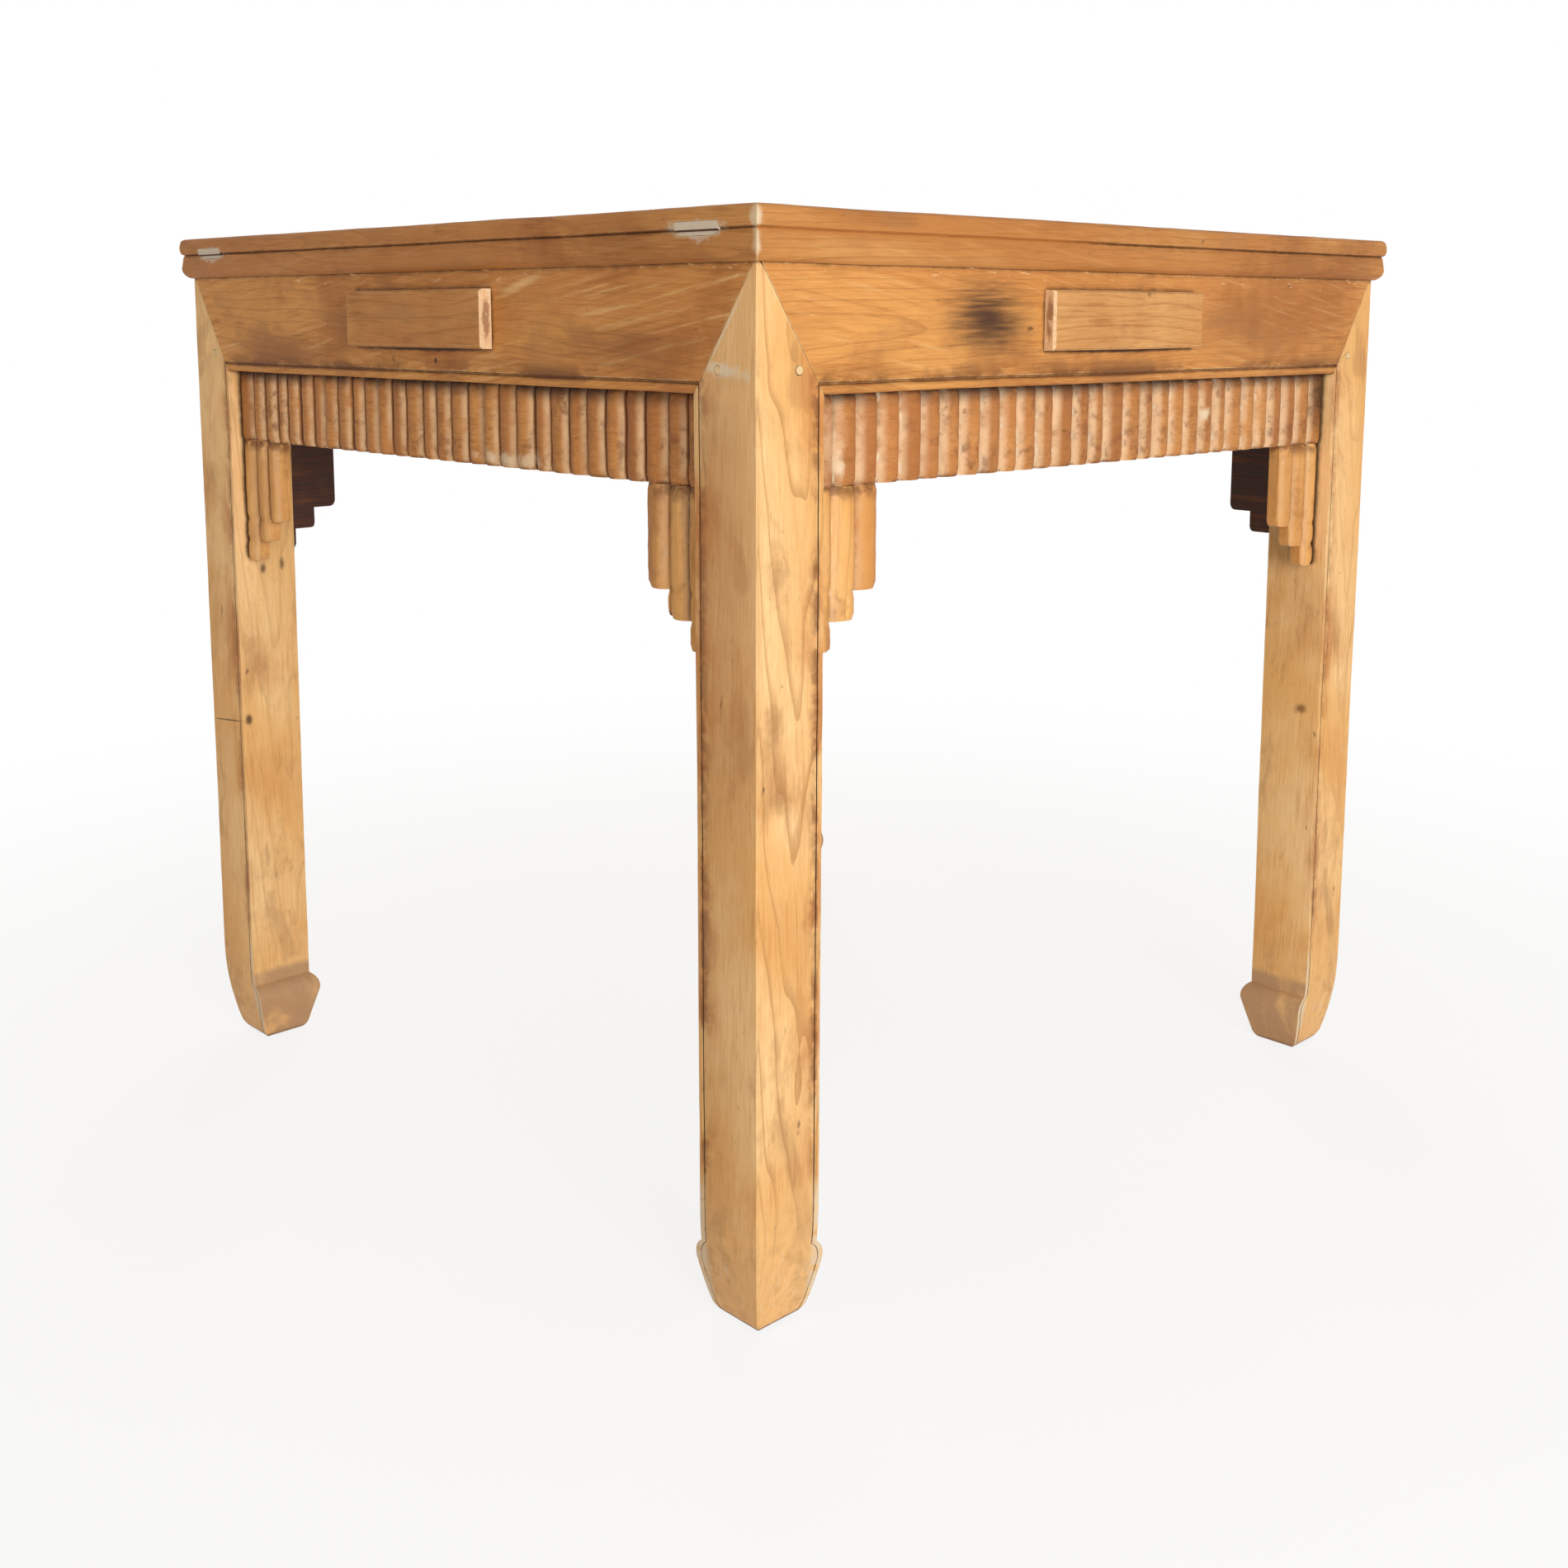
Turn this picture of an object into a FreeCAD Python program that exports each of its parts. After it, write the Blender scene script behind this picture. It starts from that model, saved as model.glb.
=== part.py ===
"""Square eight-seat table in old elm: mitred top frame, corner legs with hoof feet, four aprons with a small
drawer in each, reeded friezes under the aprons and stepped reeded spandrels beside the legs.

Millimetres, +Z up. The origin is on the floor under the middle of the top. The front side faces -Y.
Each side of the table is the front side turned about Z, and each leg is the front left leg turned about Z."""
import FreeCAD, Part
import math
import os

V = FreeCAD.Vector

# Overall sizes
top_width = 890.0
table_height = 865.0
top_thickness = 40.0
top_overhang = 10.0

# Working allowances
cut_overrun = 5.0
joint_clearance = 0.2
slide_clearance = 0.3
peg_clearance = 0.05
quarter_round_share = 1 - math.sqrt(0.5)

# Top frame: rails with a moulded edge of two swelling bands and a quirk between them
rail_width = 100.0
edge_arris_round = 5.0
edge_band_swell = 1.2
edge_quirk_height = 23.3
edge_quirk_opening = 3.0
edge_quirk_depth = 4.0
edge_lower_setback = 1.6
edge_under_inset = 8.0
edge_ovolo_height = 12.0
rail_tenon_inset = 41.0
rail_tenon_wall = 1.0
rail_tenon_thickness = 10.0
rail_tenon_height = 19.0

# Floating top boards and the battens keyed across their undersides
board_count = 4
board_thickness = 14.0
board_tongue_thickness = 7.0
board_groove_depth = 10.0
board_play = 1.0
board_gap = 0.4
batten_count = 3
batten_width = 36.0
batten_depth = 24.0
batten_key_depth = 4.0
batten_key_neck = 24.0
batten_key_head = 30.0
batten_tenon_width = 22.0
batten_tenon_thickness = 12.0
batten_tenon_length = 9.0

# Legs and hoof feet
leg_width = 68.0
ankle_width = 66.0
leg_arris_chamfer = 1.2
foot_curve_height = 95.0
foot_inset = 14.0
lip_height = 64.0
toe_height = 45.0
toe_reach = 8.0
sole_setback = 3.5
leg_tenon_inset = 14.0
leg_tenon_thickness = 12.0
leg_tenon_width = 24.0
leg_tenon_wall = 8.0
leg_tenon_cover = 3.0

# Aprons, mitred over the leg tops
apron_height = 95.0
apron_thickness = 26.0
mitre_lip = 12.0
mitre_tip = 4.0
apron_tenon_thickness = 10.0
apron_tenon_wall = 4.0
apron_tenon_rise = 10.0
apron_tenon_drop = 10.0
apron_bead = 7.5
quirk_width = 1.8
quirk_depth = 1.8

# Pegs that lock the apron tenons in the legs, whittled to eight sides
peg_width = 7.0
peg_sides = 8
peg_inset = 42.0
peg_rise = 18.0
peg_wall = 4.5

# Reeded friezes and spandrels
frieze_height = 71.0
frieze_recess = 10.0
reed_count = 30
reed_rise = 3.8
tongue_setback = 4.0
tongue_thickness = 6.0
tongue_length = 6.0
spandrel_reeds = 3
spandrel_short_length = 82.0
spandrel_step = 22.0
step_round = 6.0

# Drawers
drawer_face_width = 218.0
drawer_face_height = 50.0
drawer_face_drop = 16.0
drawer_face_thickness = 11.0
drawer_face_chamfer = 2.0
drawer_overlap_side = 6.0
drawer_overlap_edge = 5.0
drawer_gap = 1.0
drawer_end_space = 73.0
drawer_head_thickness = 13.0
drawer_side_thickness = 10.0
drawer_back_thickness = 9.0
drawer_back_setback = 6.0
drawer_back_housing = 3.0
drawer_bottom_thickness = 5.0
drawer_bottom_rise = 3.0
drawer_groove_depth = 4.0
dovetail_length = 9.0
dovetail_root = 13.0
dovetail_tip = 20.0

# Drawer bearers: a ledge under each drawer side and an upright that guides it
bearer_ledge_reach = 14.0
bearer_ledge_thickness = 14.0
bearer_guide_thickness = 14.0
bearer_guide_height = 22.0
bearer_guide_gap = 0.6
bearer_tenon_width = 18.0
bearer_tenon_thickness = 9.0
bearer_tenon_length = 3.5
bearer_tenon_drop = 2.5

# Places that follow from the overall sizes
top_edge = top_width / 2
rail_inner_edge = top_edge - rail_width
leg_face = top_edge - top_overhang
leg_inner_face = leg_face - leg_width
leg_top = table_height - top_thickness
board_bottom = table_height - board_thickness
apron_bottom = leg_top - apron_height
frieze_bottom = apron_bottom - frieze_height

# Fits in the top frame and at the leg tops
rail_tenon_width = rail_width - board_groove_depth - rail_tenon_wall - rail_tenon_inset
board_tongue_length = board_groove_depth - board_play
batten_spacing = 2 * rail_inner_edge / batten_count
leg_tenon_start = leg_tenon_inset + leg_tenon_thickness + leg_tenon_wall
leg_tenon_height = rail_tenon_height - leg_tenon_cover
apron_tenon_inset = mitre_lip + (apron_thickness - mitre_lip - apron_tenon_thickness) / 2
apron_tenon_length = leg_width - apron_tenon_inset - apron_tenon_thickness - apron_tenon_wall
peg_length = peg_inset - peg_width / 2 - peg_wall

# The mitre runs from the leg's outer top corner to the inner corner under the apron, and the beads meet on it
mitre_run = leg_width - mitre_tip
leg_bead = apron_bead * mitre_run / apron_height
leg_quirk_width = quirk_width * mitre_run / apron_height

# Reeded work: flush with the apron's back, with its tongue in line all round
frieze_thickness = apron_thickness - frieze_recess
tongue_end = apron_thickness - tongue_setback
tongue_start = tongue_end - tongue_thickness
reed_pitch = 2 * leg_inner_face / reed_count
spandrel_bottom = frieze_bottom - spandrel_short_length - (spandrel_reeds - 1) * spandrel_step

# Drawer slots, drawers and bearers
face_top = leg_top - drawer_face_drop
face_bottom = face_top - drawer_face_height
opening_top = face_top - drawer_overlap_edge
opening_bottom = face_bottom + drawer_overlap_edge
opening_half = drawer_face_width / 2 - drawer_overlap_side
drawer_half = opening_half - drawer_gap
drawer_top = opening_top - drawer_gap
drawer_bottom = opening_bottom + drawer_gap
floor_bottom = drawer_bottom + drawer_bottom_rise
floor_top = floor_bottom + drawer_bottom_thickness
ledge_top = drawer_bottom - slide_clearance
bearer_inner = drawer_half - bearer_ledge_reach
bearer_guide_face = drawer_half + bearer_guide_gap
bearer_outer = bearer_guide_face + bearer_guide_thickness
bearer_tenon_top = ledge_top - bearer_tenon_drop
drawer_depth = leg_face - bearer_outer - drawer_end_space

sides = {"front": 0, "right": 90, "back": 180, "left": 270}
corners = {"front_left": 0, "front_right": 90, "back_right": 180, "back_left": 270}
origin = V(0, 0, 0)
across = V(1, 0, 0)
inwards = V(0, 1, 0)
up = V(0, 0, 1)


# Small helpers for shapes and their copies
def turned(shape, degrees):
    """A copy of a shape turned about the table's upright middle axis."""
    copy = shape.copy()
    copy.rotate(origin, up, degrees)
    return copy


def both_ends(shape):
    """A left-end shape together with its mirror image at the right end."""
    return [shape, shape.mirror(origin, across)]


def front_and_back(shape):
    """A front shape together with its mirror image at the back."""
    return [shape, shape.mirror(origin, inwards)]


def both_faces(shape):
    """A shape on the front left leg's front face together with its mirror image on the left face."""
    return [shape, shape.mirror(origin, across - inwards)]


def box(x0, x1, y0, y1, z0, z1):
    """A block between two values on each axis."""
    return Part.makeBox(x1 - x0, y1 - y0, z1 - z0, V(x0, y0, z0))


def side_box(x0, x1, depth0, depth1, z0, z1):
    """A block on the front side, with its depth counted inwards from the legs' outer face."""
    return box(x0, x1, depth0 - leg_face, depth1 - leg_face, z0, z1)


def corner_box(u0, u1, v0, v1, z0, z1):
    """A block at the front left leg, counted inwards from its two outer faces."""
    return box(u0 - leg_face, u1 - leg_face, v0 - leg_face, v1 - leg_face, z0, z1)


def line(a, b):
    """A straight edge between two points."""
    return Part.LineSegment(a, b).toShape()


def arc(a, middle, b):
    """A round edge through three points."""
    return Part.Arc(a, middle, b).toShape()


def quarter_round(a, corner, b):
    """A round edge that eases the corner between two points."""
    return arc(a, corner + (a + b - corner * 2) * quarter_round_share, b)


def polyline(points):
    """Straight edges from point to point."""
    return [line(a, b) for a, b in zip(points, points[1:])]


def prism(edges, direction):
    """The solid that a closed ring of edges sweeps along a direction."""
    return Part.Face(Part.Wire(edges)).extrude(direction)


def polygon_prism(points, direction):
    """The solid that a closed polygon sweeps along a direction."""
    return prism(polyline(points + points[:1]), direction)


def cut_all(shape, cutters):
    """A shape with every cutter taken out of it."""
    for cutter in cutters:
        shape = shape.cut(cutter)
    return shape


def joined(shape, additions):
    """Several touching solids made into one, with flush faces merged."""
    for addition in additions:
        shape = shape.fuse(addition)
    return shape.removeSplitter()


# Legs: the outlines lie on the front face, with u counted inwards from the outer corner
def leg_point(u, z):
    """A point on the plane of the leg's front face."""
    return V(u - leg_face, -leg_face, z)


def inner_width(z):
    """The leg's width at a height between the hoof's lip and the apron."""
    rise_share = (z - lip_height) / (apron_bottom - lip_height)
    return ankle_width + (leg_width - ankle_width) * rise_share


def inner_outline(shift):
    """The leg's inner outline from its top to the sole, moved towards the outer corner by a shift."""
    top = leg_point(leg_width - shift, leg_top)
    apron_corner = leg_point(leg_width - shift, apron_bottom)
    ankle = leg_point(ankle_width - shift, lip_height)
    lip_corner = leg_point(ankle_width + toe_reach - shift, lip_height)
    toe = leg_point(ankle_width + toe_reach - shift, toe_height)
    heel = leg_point(ankle_width - sole_setback - shift, 0)
    return [line(top, apron_corner), line(apron_corner, ankle), quarter_round(ankle, lip_corner, toe),
            line(toe, heel)]


def outer_outline(inset):
    """The leg's outer outline from the sole to its top: the hoof curves in below a straight shank."""
    radius = (foot_curve_height ** 2 + foot_inset ** 2) / (2 * foot_inset)
    half_angle = math.asin(foot_curve_height / radius) / 2
    sole = leg_point(foot_inset + inset, 0)
    curve_middle = leg_point(radius * (1 - math.cos(half_angle)) + inset,
                             foot_curve_height - radius * math.sin(half_angle))
    curve_top = leg_point(inset, foot_curve_height)
    return [arc(sole, curve_middle, curve_top), line(curve_top, leg_point(inset, leg_top))]


def swept_leg(inset):
    """The leg's outline swept across the leg, with its outer side moved in by an inset."""
    inner = inner_outline(0)
    outer = outer_outline(inset)
    sole = line(leg_point(ankle_width - sole_setback, 0), leg_point(foot_inset + inset, 0))
    top = line(leg_point(inset, leg_top), leg_point(leg_width, leg_top))
    solid = prism(inner + [sole] + outer + [top], inwards * (leg_width + toe_reach + 2 * cut_overrun))
    solid.translate(-inwards * cut_overrun)
    return solid


def leg_quirk():
    """The groove that sets off the bead along the inner edge of the leg's front face."""
    near = inner_outline(leg_bead)
    far = inner_outline(leg_bead + leg_quirk_width)
    top = line(far[0].Vertexes[0].Point, near[0].Vertexes[0].Point)
    sole = line(near[-1].Vertexes[-1].Point, far[-1].Vertexes[-1].Point)
    ribbon = prism(near + [sole] + far[::-1] + [top], inwards * (leg_width / 2 + cut_overrun))
    ribbon.translate(-inwards * cut_overrun)
    core = both_faces(swept_leg(quirk_depth))[1]
    return ribbon.cut(core)


def mitre_recess():
    """What the apron's lip takes out of the leg's front face."""
    beyond = leg_point(mitre_tip - cut_overrun * mitre_run / apron_height, leg_top + cut_overrun)
    recess = polygon_prism([beyond, leg_point(leg_width, apron_bottom),
                            leg_point(leg_width + cut_overrun, apron_bottom),
                            leg_point(leg_width + cut_overrun, leg_top + cut_overrun)],
                           inwards * (mitre_lip + cut_overrun))
    recess.translate(-inwards * cut_overrun)
    return recess


def apron_mortise():
    """The pocket in the leg for the front apron's tenon."""
    return corner_box(leg_width - apron_tenon_length - joint_clearance, leg_width + cut_overrun,
                      apron_tenon_inset - joint_clearance,
                      apron_tenon_inset + apron_tenon_thickness + joint_clearance,
                      apron_bottom + apron_tenon_rise - joint_clearance,
                      leg_top - apron_tenon_drop + joint_clearance)


def leg_groove():
    """The groove in the leg's inner face for the tongues of the frieze and the spandrel."""
    return corner_box(leg_width - tongue_length - joint_clearance, leg_width + cut_overrun,
                      tongue_start - joint_clearance, tongue_end + joint_clearance,
                      spandrel_bottom - joint_clearance, apron_bottom)


def leg_peg(clearance):
    """A peg through the leg's front face and the tenon of the front apron, or its hole with a clearance."""
    side_angle = 2 * math.pi / peg_sides
    radius = (peg_width / 2 + clearance) / math.cos(side_angle / 2)
    angles = [(index + 0.5) * side_angle for index in range(peg_sides)]
    return polygon_prism([leg_point(peg_inset + radius * math.cos(angle),
                                    apron_bottom + peg_rise + radius * math.sin(angle)) for angle in angles],
                         inwards * peg_length)


def leg_top_tenon(clearance):
    """The stub on the leg top that enters the front rail, or its pocket with a clearance."""
    return corner_box(leg_tenon_start - clearance, leg_tenon_start + leg_tenon_width + clearance,
                      leg_tenon_inset - clearance, leg_tenon_inset + leg_tenon_thickness + clearance,
                      leg_top - clearance, leg_top + leg_tenon_height + clearance)


def is_outer_corner(edge):
    """Whether an edge of the bare leg runs up its outer corner."""
    limit = foot_inset + joint_clearance - leg_face
    return all(abs(p.Point.x - p.Point.y) < joint_clearance and p.Point.x < limit for p in edge.Vertexes)


def make_leg():
    """The front left leg: square shank, hoof foot turned in, mitred shoulders and mortises at the top."""
    front, left = both_faces(swept_leg(0))
    leg = front.common(left).removeSplitter()
    leg = leg.makeChamfer(leg_arris_chamfer, [e for e in leg.Edges if is_outer_corner(e)])
    peg_hole = leg_peg(peg_clearance)
    for cutter in (mitre_recess(), leg_quirk(), apron_mortise(), leg_groove(), peg_hole):
        leg = cut_all(leg, both_faces(cutter))
    return joined(leg, both_faces(leg_top_tenon(0)))


# Aprons
def apron_lip():
    """The apron's front layer, mitred over the legs and against the lips of the aprons next to it."""
    lip = polygon_prism([leg_point(mitre_tip, leg_top), leg_point(leg_width, apron_bottom),
                         V(leg_inner_face, -leg_face, apron_bottom),
                         V(leg_face - mitre_tip, -leg_face, leg_top)], inwards * mitre_lip)
    outside = -leg_face - cut_overrun
    inside = mitre_lip + cut_overrun - leg_face
    neighbour = polygon_prism([V(outside, outside, apron_bottom), V(inside, inside, apron_bottom),
                               V(outside, inside, apron_bottom)], up * (apron_height + cut_overrun))
    return cut_all(lip, both_ends(neighbour))


def bead_waste():
    """What is cut away outside the rounded nose of the bead along the apron's lower edge."""
    def section_point(depth, height):
        return V(-leg_face, depth - leg_face, apron_bottom + height)

    radius = apron_bead / 2
    upper = section_point(quirk_depth, apron_bead)
    nose = section_point(0, radius)
    lower = section_point(radius, 0)
    ring = [quarter_round(upper, section_point(0, apron_bead), nose),
            quarter_round(nose, section_point(0, 0), lower)]
    ring += polyline([lower, section_point(radius, -cut_overrun), section_point(-cut_overrun, -cut_overrun),
                      section_point(-cut_overrun, apron_bead), upper])
    return prism(ring, across * 2 * leg_face)


def make_apron():
    """The front apron: mitred lips over the legs, tenons behind them, a bead along its lower edge, a slot for
    the drawer, and a groove below for the frieze."""
    core = side_box(-leg_inner_face, leg_inner_face, mitre_lip, apron_thickness, apron_bottom, leg_top)
    tenon = side_box(-leg_inner_face - apron_tenon_length, -leg_inner_face, apron_tenon_inset,
                     apron_tenon_inset + apron_tenon_thickness, apron_bottom + apron_tenon_rise,
                     leg_top - apron_tenon_drop)
    apron = joined(apron_lip(), [core] + both_ends(tenon))
    slot = side_box(-opening_half, opening_half, -cut_overrun, apron_thickness + cut_overrun, opening_bottom,
                    opening_top)
    groove = side_box(-leg_inner_face - cut_overrun, leg_inner_face + cut_overrun,
                      tongue_start - joint_clearance, tongue_end + joint_clearance,
                      apron_bottom - cut_overrun, apron_bottom + tongue_length + joint_clearance)
    quirk = side_box(-leg_face, leg_face, -cut_overrun, quirk_depth, apron_bottom + apron_bead,
                     apron_bottom + apron_bead + quirk_width)
    pockets = both_ends(leg_peg(peg_clearance)) + both_ends(bearer_tenon(joint_clearance))
    return cut_all(apron, [slot, groove, quirk, bead_waste()] + pockets)


# Reeded friezes and spandrels
def reeded_slab(left, count, bottom, top):
    """A slab whose front is a row of rounded reeds, counted from its left edge."""
    crest = frieze_recess - leg_face
    valley = crest + reed_rise
    back = apron_thickness - leg_face
    edges = []
    for index in range(count):
        start = left + index * reed_pitch
        edges.append(arc(V(start, valley, bottom), V(start + reed_pitch / 2, crest, bottom),
                         V(start + reed_pitch, valley, bottom)))
    right = left + count * reed_pitch
    edges += polyline([V(right, valley, bottom), V(right, back, bottom), V(left, back, bottom),
                       V(left, valley, bottom)])
    return prism(edges, up * (top - bottom))


def make_frieze():
    """The front frieze: a reeded strip tongued into the apron above it and into the legs at its ends."""
    slab = reeded_slab(-leg_inner_face, reed_count, frieze_bottom, apron_bottom)
    top_tongue = side_box(-leg_inner_face, leg_inner_face, tongue_start, tongue_end, apron_bottom,
                          apron_bottom + tongue_length)
    end_tongue = side_box(-leg_inner_face - tongue_length, -leg_inner_face, tongue_start, tongue_end,
                          frieze_bottom, apron_bottom)
    return joined(slab, [top_tongue] + both_ends(end_tongue))


def stepped_board():
    """A plain board in the left spandrel's outline: it steps down to the leg and follows the leg's taper."""
    def outline_point(x, z):
        return V(x, frieze_recess - leg_face, z)

    top_right = outline_point(spandrel_reeds * reed_pitch - leg_inner_face, frieze_bottom)
    at = top_right
    edges = []
    for step in range(spandrel_reeds):
        right = (spandrel_reeds - step) * reed_pitch - leg_inner_face
        bottom = frieze_bottom - spandrel_short_length - step * spandrel_step
        left = right - reed_pitch if bottom > spandrel_bottom else inner_width(bottom) - leg_face
        round_start = outline_point(right, bottom + step_round)
        round_end = outline_point(right - step_round, bottom)
        step_end = outline_point(left, bottom)
        edges += [line(at, round_start), quarter_round(round_start, outline_point(right, bottom), round_end),
                  line(round_end, step_end)]
        at = step_end
    top_left = outline_point(inner_width(frieze_bottom) - leg_face, frieze_bottom)
    edges += polyline([at, top_left, top_right])
    return prism(edges, inwards * frieze_thickness)


def make_left_spandrel():
    """The front side's left spandrel: reeds in line with the frieze's, tongued into the leg."""
    slab = reeded_slab(-leg_inner_face - reed_pitch, spandrel_reeds + 1, spandrel_bottom, frieze_bottom)
    tongue = side_box(-leg_inner_face - tongue_length, reed_pitch / 2 - leg_inner_face, tongue_start,
                      tongue_end, spandrel_bottom, frieze_bottom)
    return joined(slab.common(stepped_board()), [tongue])


# Top frame, boards and battens
def rail_point(inset, height):
    """A point of the front rail's section: inset from the outermost edge, height above the underside."""
    return V(-top_edge, inset - top_edge, leg_top + height)


def square_rail():
    """The front rail before its ends are mitred: moulded outer edge, grooved inner edge."""
    quirk_low = edge_quirk_height - edge_quirk_opening / 2
    quirk_high = edge_quirk_height + edge_quirk_opening / 2
    arris_low = top_thickness - edge_arris_round
    arris_inset = edge_band_swell / 2
    groove_low = top_thickness - board_thickness - joint_clearance
    groove_high = top_thickness - board_thickness + board_tongue_thickness + joint_clearance
    groove_root = rail_width - board_groove_depth
    under = rail_point(edge_under_inset, 0)
    ovolo_top = rail_point(edge_lower_setback, edge_ovolo_height)
    quirk_over = rail_point(edge_band_swell, quirk_high)
    arris_start = rail_point(arris_inset, arris_low)
    arris_end = rail_point(arris_inset + edge_arris_round, top_thickness)
    edges = [quarter_round(under, rail_point(edge_lower_setback, 0), ovolo_top)]
    edges += polyline([ovolo_top, rail_point(edge_lower_setback + edge_band_swell, quirk_low),
                       rail_point(edge_quirk_depth, edge_quirk_height), quirk_over])
    edges += [arc(quirk_over, rail_point(0, (quirk_high + arris_low) / 2), arris_start),
              quarter_round(arris_start, rail_point(arris_inset, top_thickness), arris_end)]
    edges += polyline([arris_end, rail_point(rail_width, top_thickness), rail_point(rail_width, groove_high),
                       rail_point(groove_root, groove_high), rail_point(groove_root, groove_low),
                       rail_point(rail_width, groove_low), rail_point(rail_width, 0), under])
    return prism(edges, across * top_width)


def mitred_rail():
    """The front rail with both ends cut to the corner mitres."""
    outside = -top_edge - cut_overrun
    inside = cut_overrun - rail_inner_edge
    low = leg_top - cut_overrun
    waste = polygon_prism([V(outside, outside, low), V(inside, inside, low), V(outside, inside, low)],
                          up * (top_thickness + 2 * cut_overrun))
    return cut_all(square_rail(), both_ends(waste))


def rail_tenon(clearance):
    """The front rail's left through tenon, or its mortise in the left rail with a clearance."""
    start = rail_tenon_inset - top_edge
    low = leg_top + rail_tenon_height
    return box(-top_edge - clearance, -rail_inner_edge, start - clearance,
               start + rail_tenon_width + clearance, low - clearance, low + rail_tenon_thickness + clearance)


def batten_places():
    """The battens' middle lines, counted from the table's middle."""
    return [(index - (batten_count - 1) / 2) * batten_spacing for index in range(batten_count)]


def batten_tenon(x, clearance):
    """A batten's front stub, or its pocket in the front rail with a clearance."""
    middle = board_bottom - batten_depth / 2
    half_width = batten_tenon_width / 2 + clearance
    half_thickness = batten_tenon_thickness / 2 + clearance
    return box(x - half_width, x + half_width, -rail_inner_edge - batten_tenon_length - clearance,
               -rail_inner_edge, middle - half_thickness, middle + half_thickness)


def batten_key(x, half_length, clearance):
    """The dovetail key along a batten's top, or its groove in the boards with a clearance."""
    neck = batten_key_neck / 2 + clearance
    head = batten_key_head / 2 + clearance
    top = board_bottom + batten_key_depth + clearance
    return polygon_prism([V(x - neck, -half_length, board_bottom), V(x + neck, -half_length, board_bottom),
                          V(x + head, -half_length, top), V(x - head, -half_length, top)],
                         inwards * 2 * half_length)


def make_long_rail():
    """The front rail: its through tenons end flush in the left and right edges of the top."""
    left_edge = turned(square_rail(), sides["left"])
    rail = joined(mitred_rail(), both_ends(rail_tenon(0).common(left_edge)))
    pockets = [batten_tenon(x, joint_clearance) for x in batten_places()]
    return cut_all(rail, pockets + both_ends(leg_top_tenon(joint_clearance)))


def make_end_rail():
    """The left rail, mortised right through for the tenons of the front and back rails."""
    rail = turned(mitred_rail(), sides["left"])
    leg_pocket = both_faces(leg_top_tenon(joint_clearance))[1]
    return cut_all(rail, front_and_back(rail_tenon(joint_clearance)) + front_and_back(leg_pocket))


def make_board(index):
    """One top board, tongued into the end rails and, at the panel's edges, into the long rails."""
    pitch = 2 * rail_inner_edge / board_count
    first = index == 0
    last = index == board_count - 1
    low = index * pitch - rail_inner_edge + (0 if first else board_gap / 2)
    high = (index + 1) * pitch - rail_inner_edge - (0 if last else board_gap / 2)
    board = box(-rail_inner_edge, rail_inner_edge, low, high, board_bottom, table_height)
    tongue = box(-rail_inner_edge - board_tongue_length, rail_inner_edge + board_tongue_length,
                 low - (board_tongue_length if first else 0), high + (board_tongue_length if last else 0),
                 board_bottom, board_bottom + board_tongue_thickness)
    grooves = [batten_key(x, top_edge, joint_clearance) for x in batten_places()]
    return cut_all(joined(board, [tongue]), grooves)


def make_batten(x):
    """A batten across the boards, keyed into them and tenoned into the front and back rails."""
    body = box(x - batten_width / 2, x + batten_width / 2, -rail_inner_edge, rail_inner_edge,
               board_bottom - batten_depth, board_bottom)
    return joined(body, [batten_key(x, rail_inner_edge, 0)] + front_and_back(batten_tenon(x, 0)))


# Drawer bearers, in the places of the front drawer's left one
def bearer_bar(length):
    """An L-shaped bar from the apron's back inwards: ledge below, guide outside."""
    def section_point(x, z):
        return V(-x, apron_thickness - leg_face, z)

    ledge_bottom = ledge_top - bearer_ledge_thickness
    guide_top = ledge_top + bearer_guide_height
    section = [section_point(bearer_inner, ledge_bottom), section_point(bearer_outer, ledge_bottom),
               section_point(bearer_outer, guide_top), section_point(bearer_guide_face, guide_top),
               section_point(bearer_guide_face, ledge_top), section_point(bearer_inner, ledge_top)]
    return polygon_prism(section, inwards * length)


def bearer_stub(y0, y1, clearance):
    """A stub tenon on a bearer's end between two depths, or its pocket with a clearance."""
    middle = -(bearer_inner + bearer_outer) / 2
    half_width = bearer_tenon_width / 2 + clearance
    return box(middle - half_width, middle + half_width, y0, y1,
               bearer_tenon_top - bearer_tenon_thickness - clearance, bearer_tenon_top + clearance)


def bearer_tenon(clearance):
    """The bearer's stub in the apron's back, or its pocket with a clearance."""
    back = apron_thickness - leg_face
    return bearer_stub(back - bearer_tenon_length - clearance, back, clearance)


def cross_tenon(clearance):
    """A short bearer's stub in a long bearer's side, or its pocket with a clearance."""
    return bearer_stub(-bearer_outer, bearer_tenon_length + clearance - bearer_outer, clearance)


def make_long_bearer():
    """The left-hand bearer from the front apron to the back apron, which carries both of their drawers."""
    bar = joined(bearer_bar(2 * (leg_face - apron_thickness)), front_and_back(bearer_tenon(0)))
    return cut_all(bar, [turned(stub, sides["left"]) for stub in both_ends(cross_tenon(joint_clearance))])


def make_cross_bearer():
    """The left-hand bearer of a side drawer, from its apron to a long bearer."""
    return joined(bearer_bar(leg_face - apron_thickness - bearer_outer), [bearer_tenon(0), cross_tenon(0)])


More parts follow.
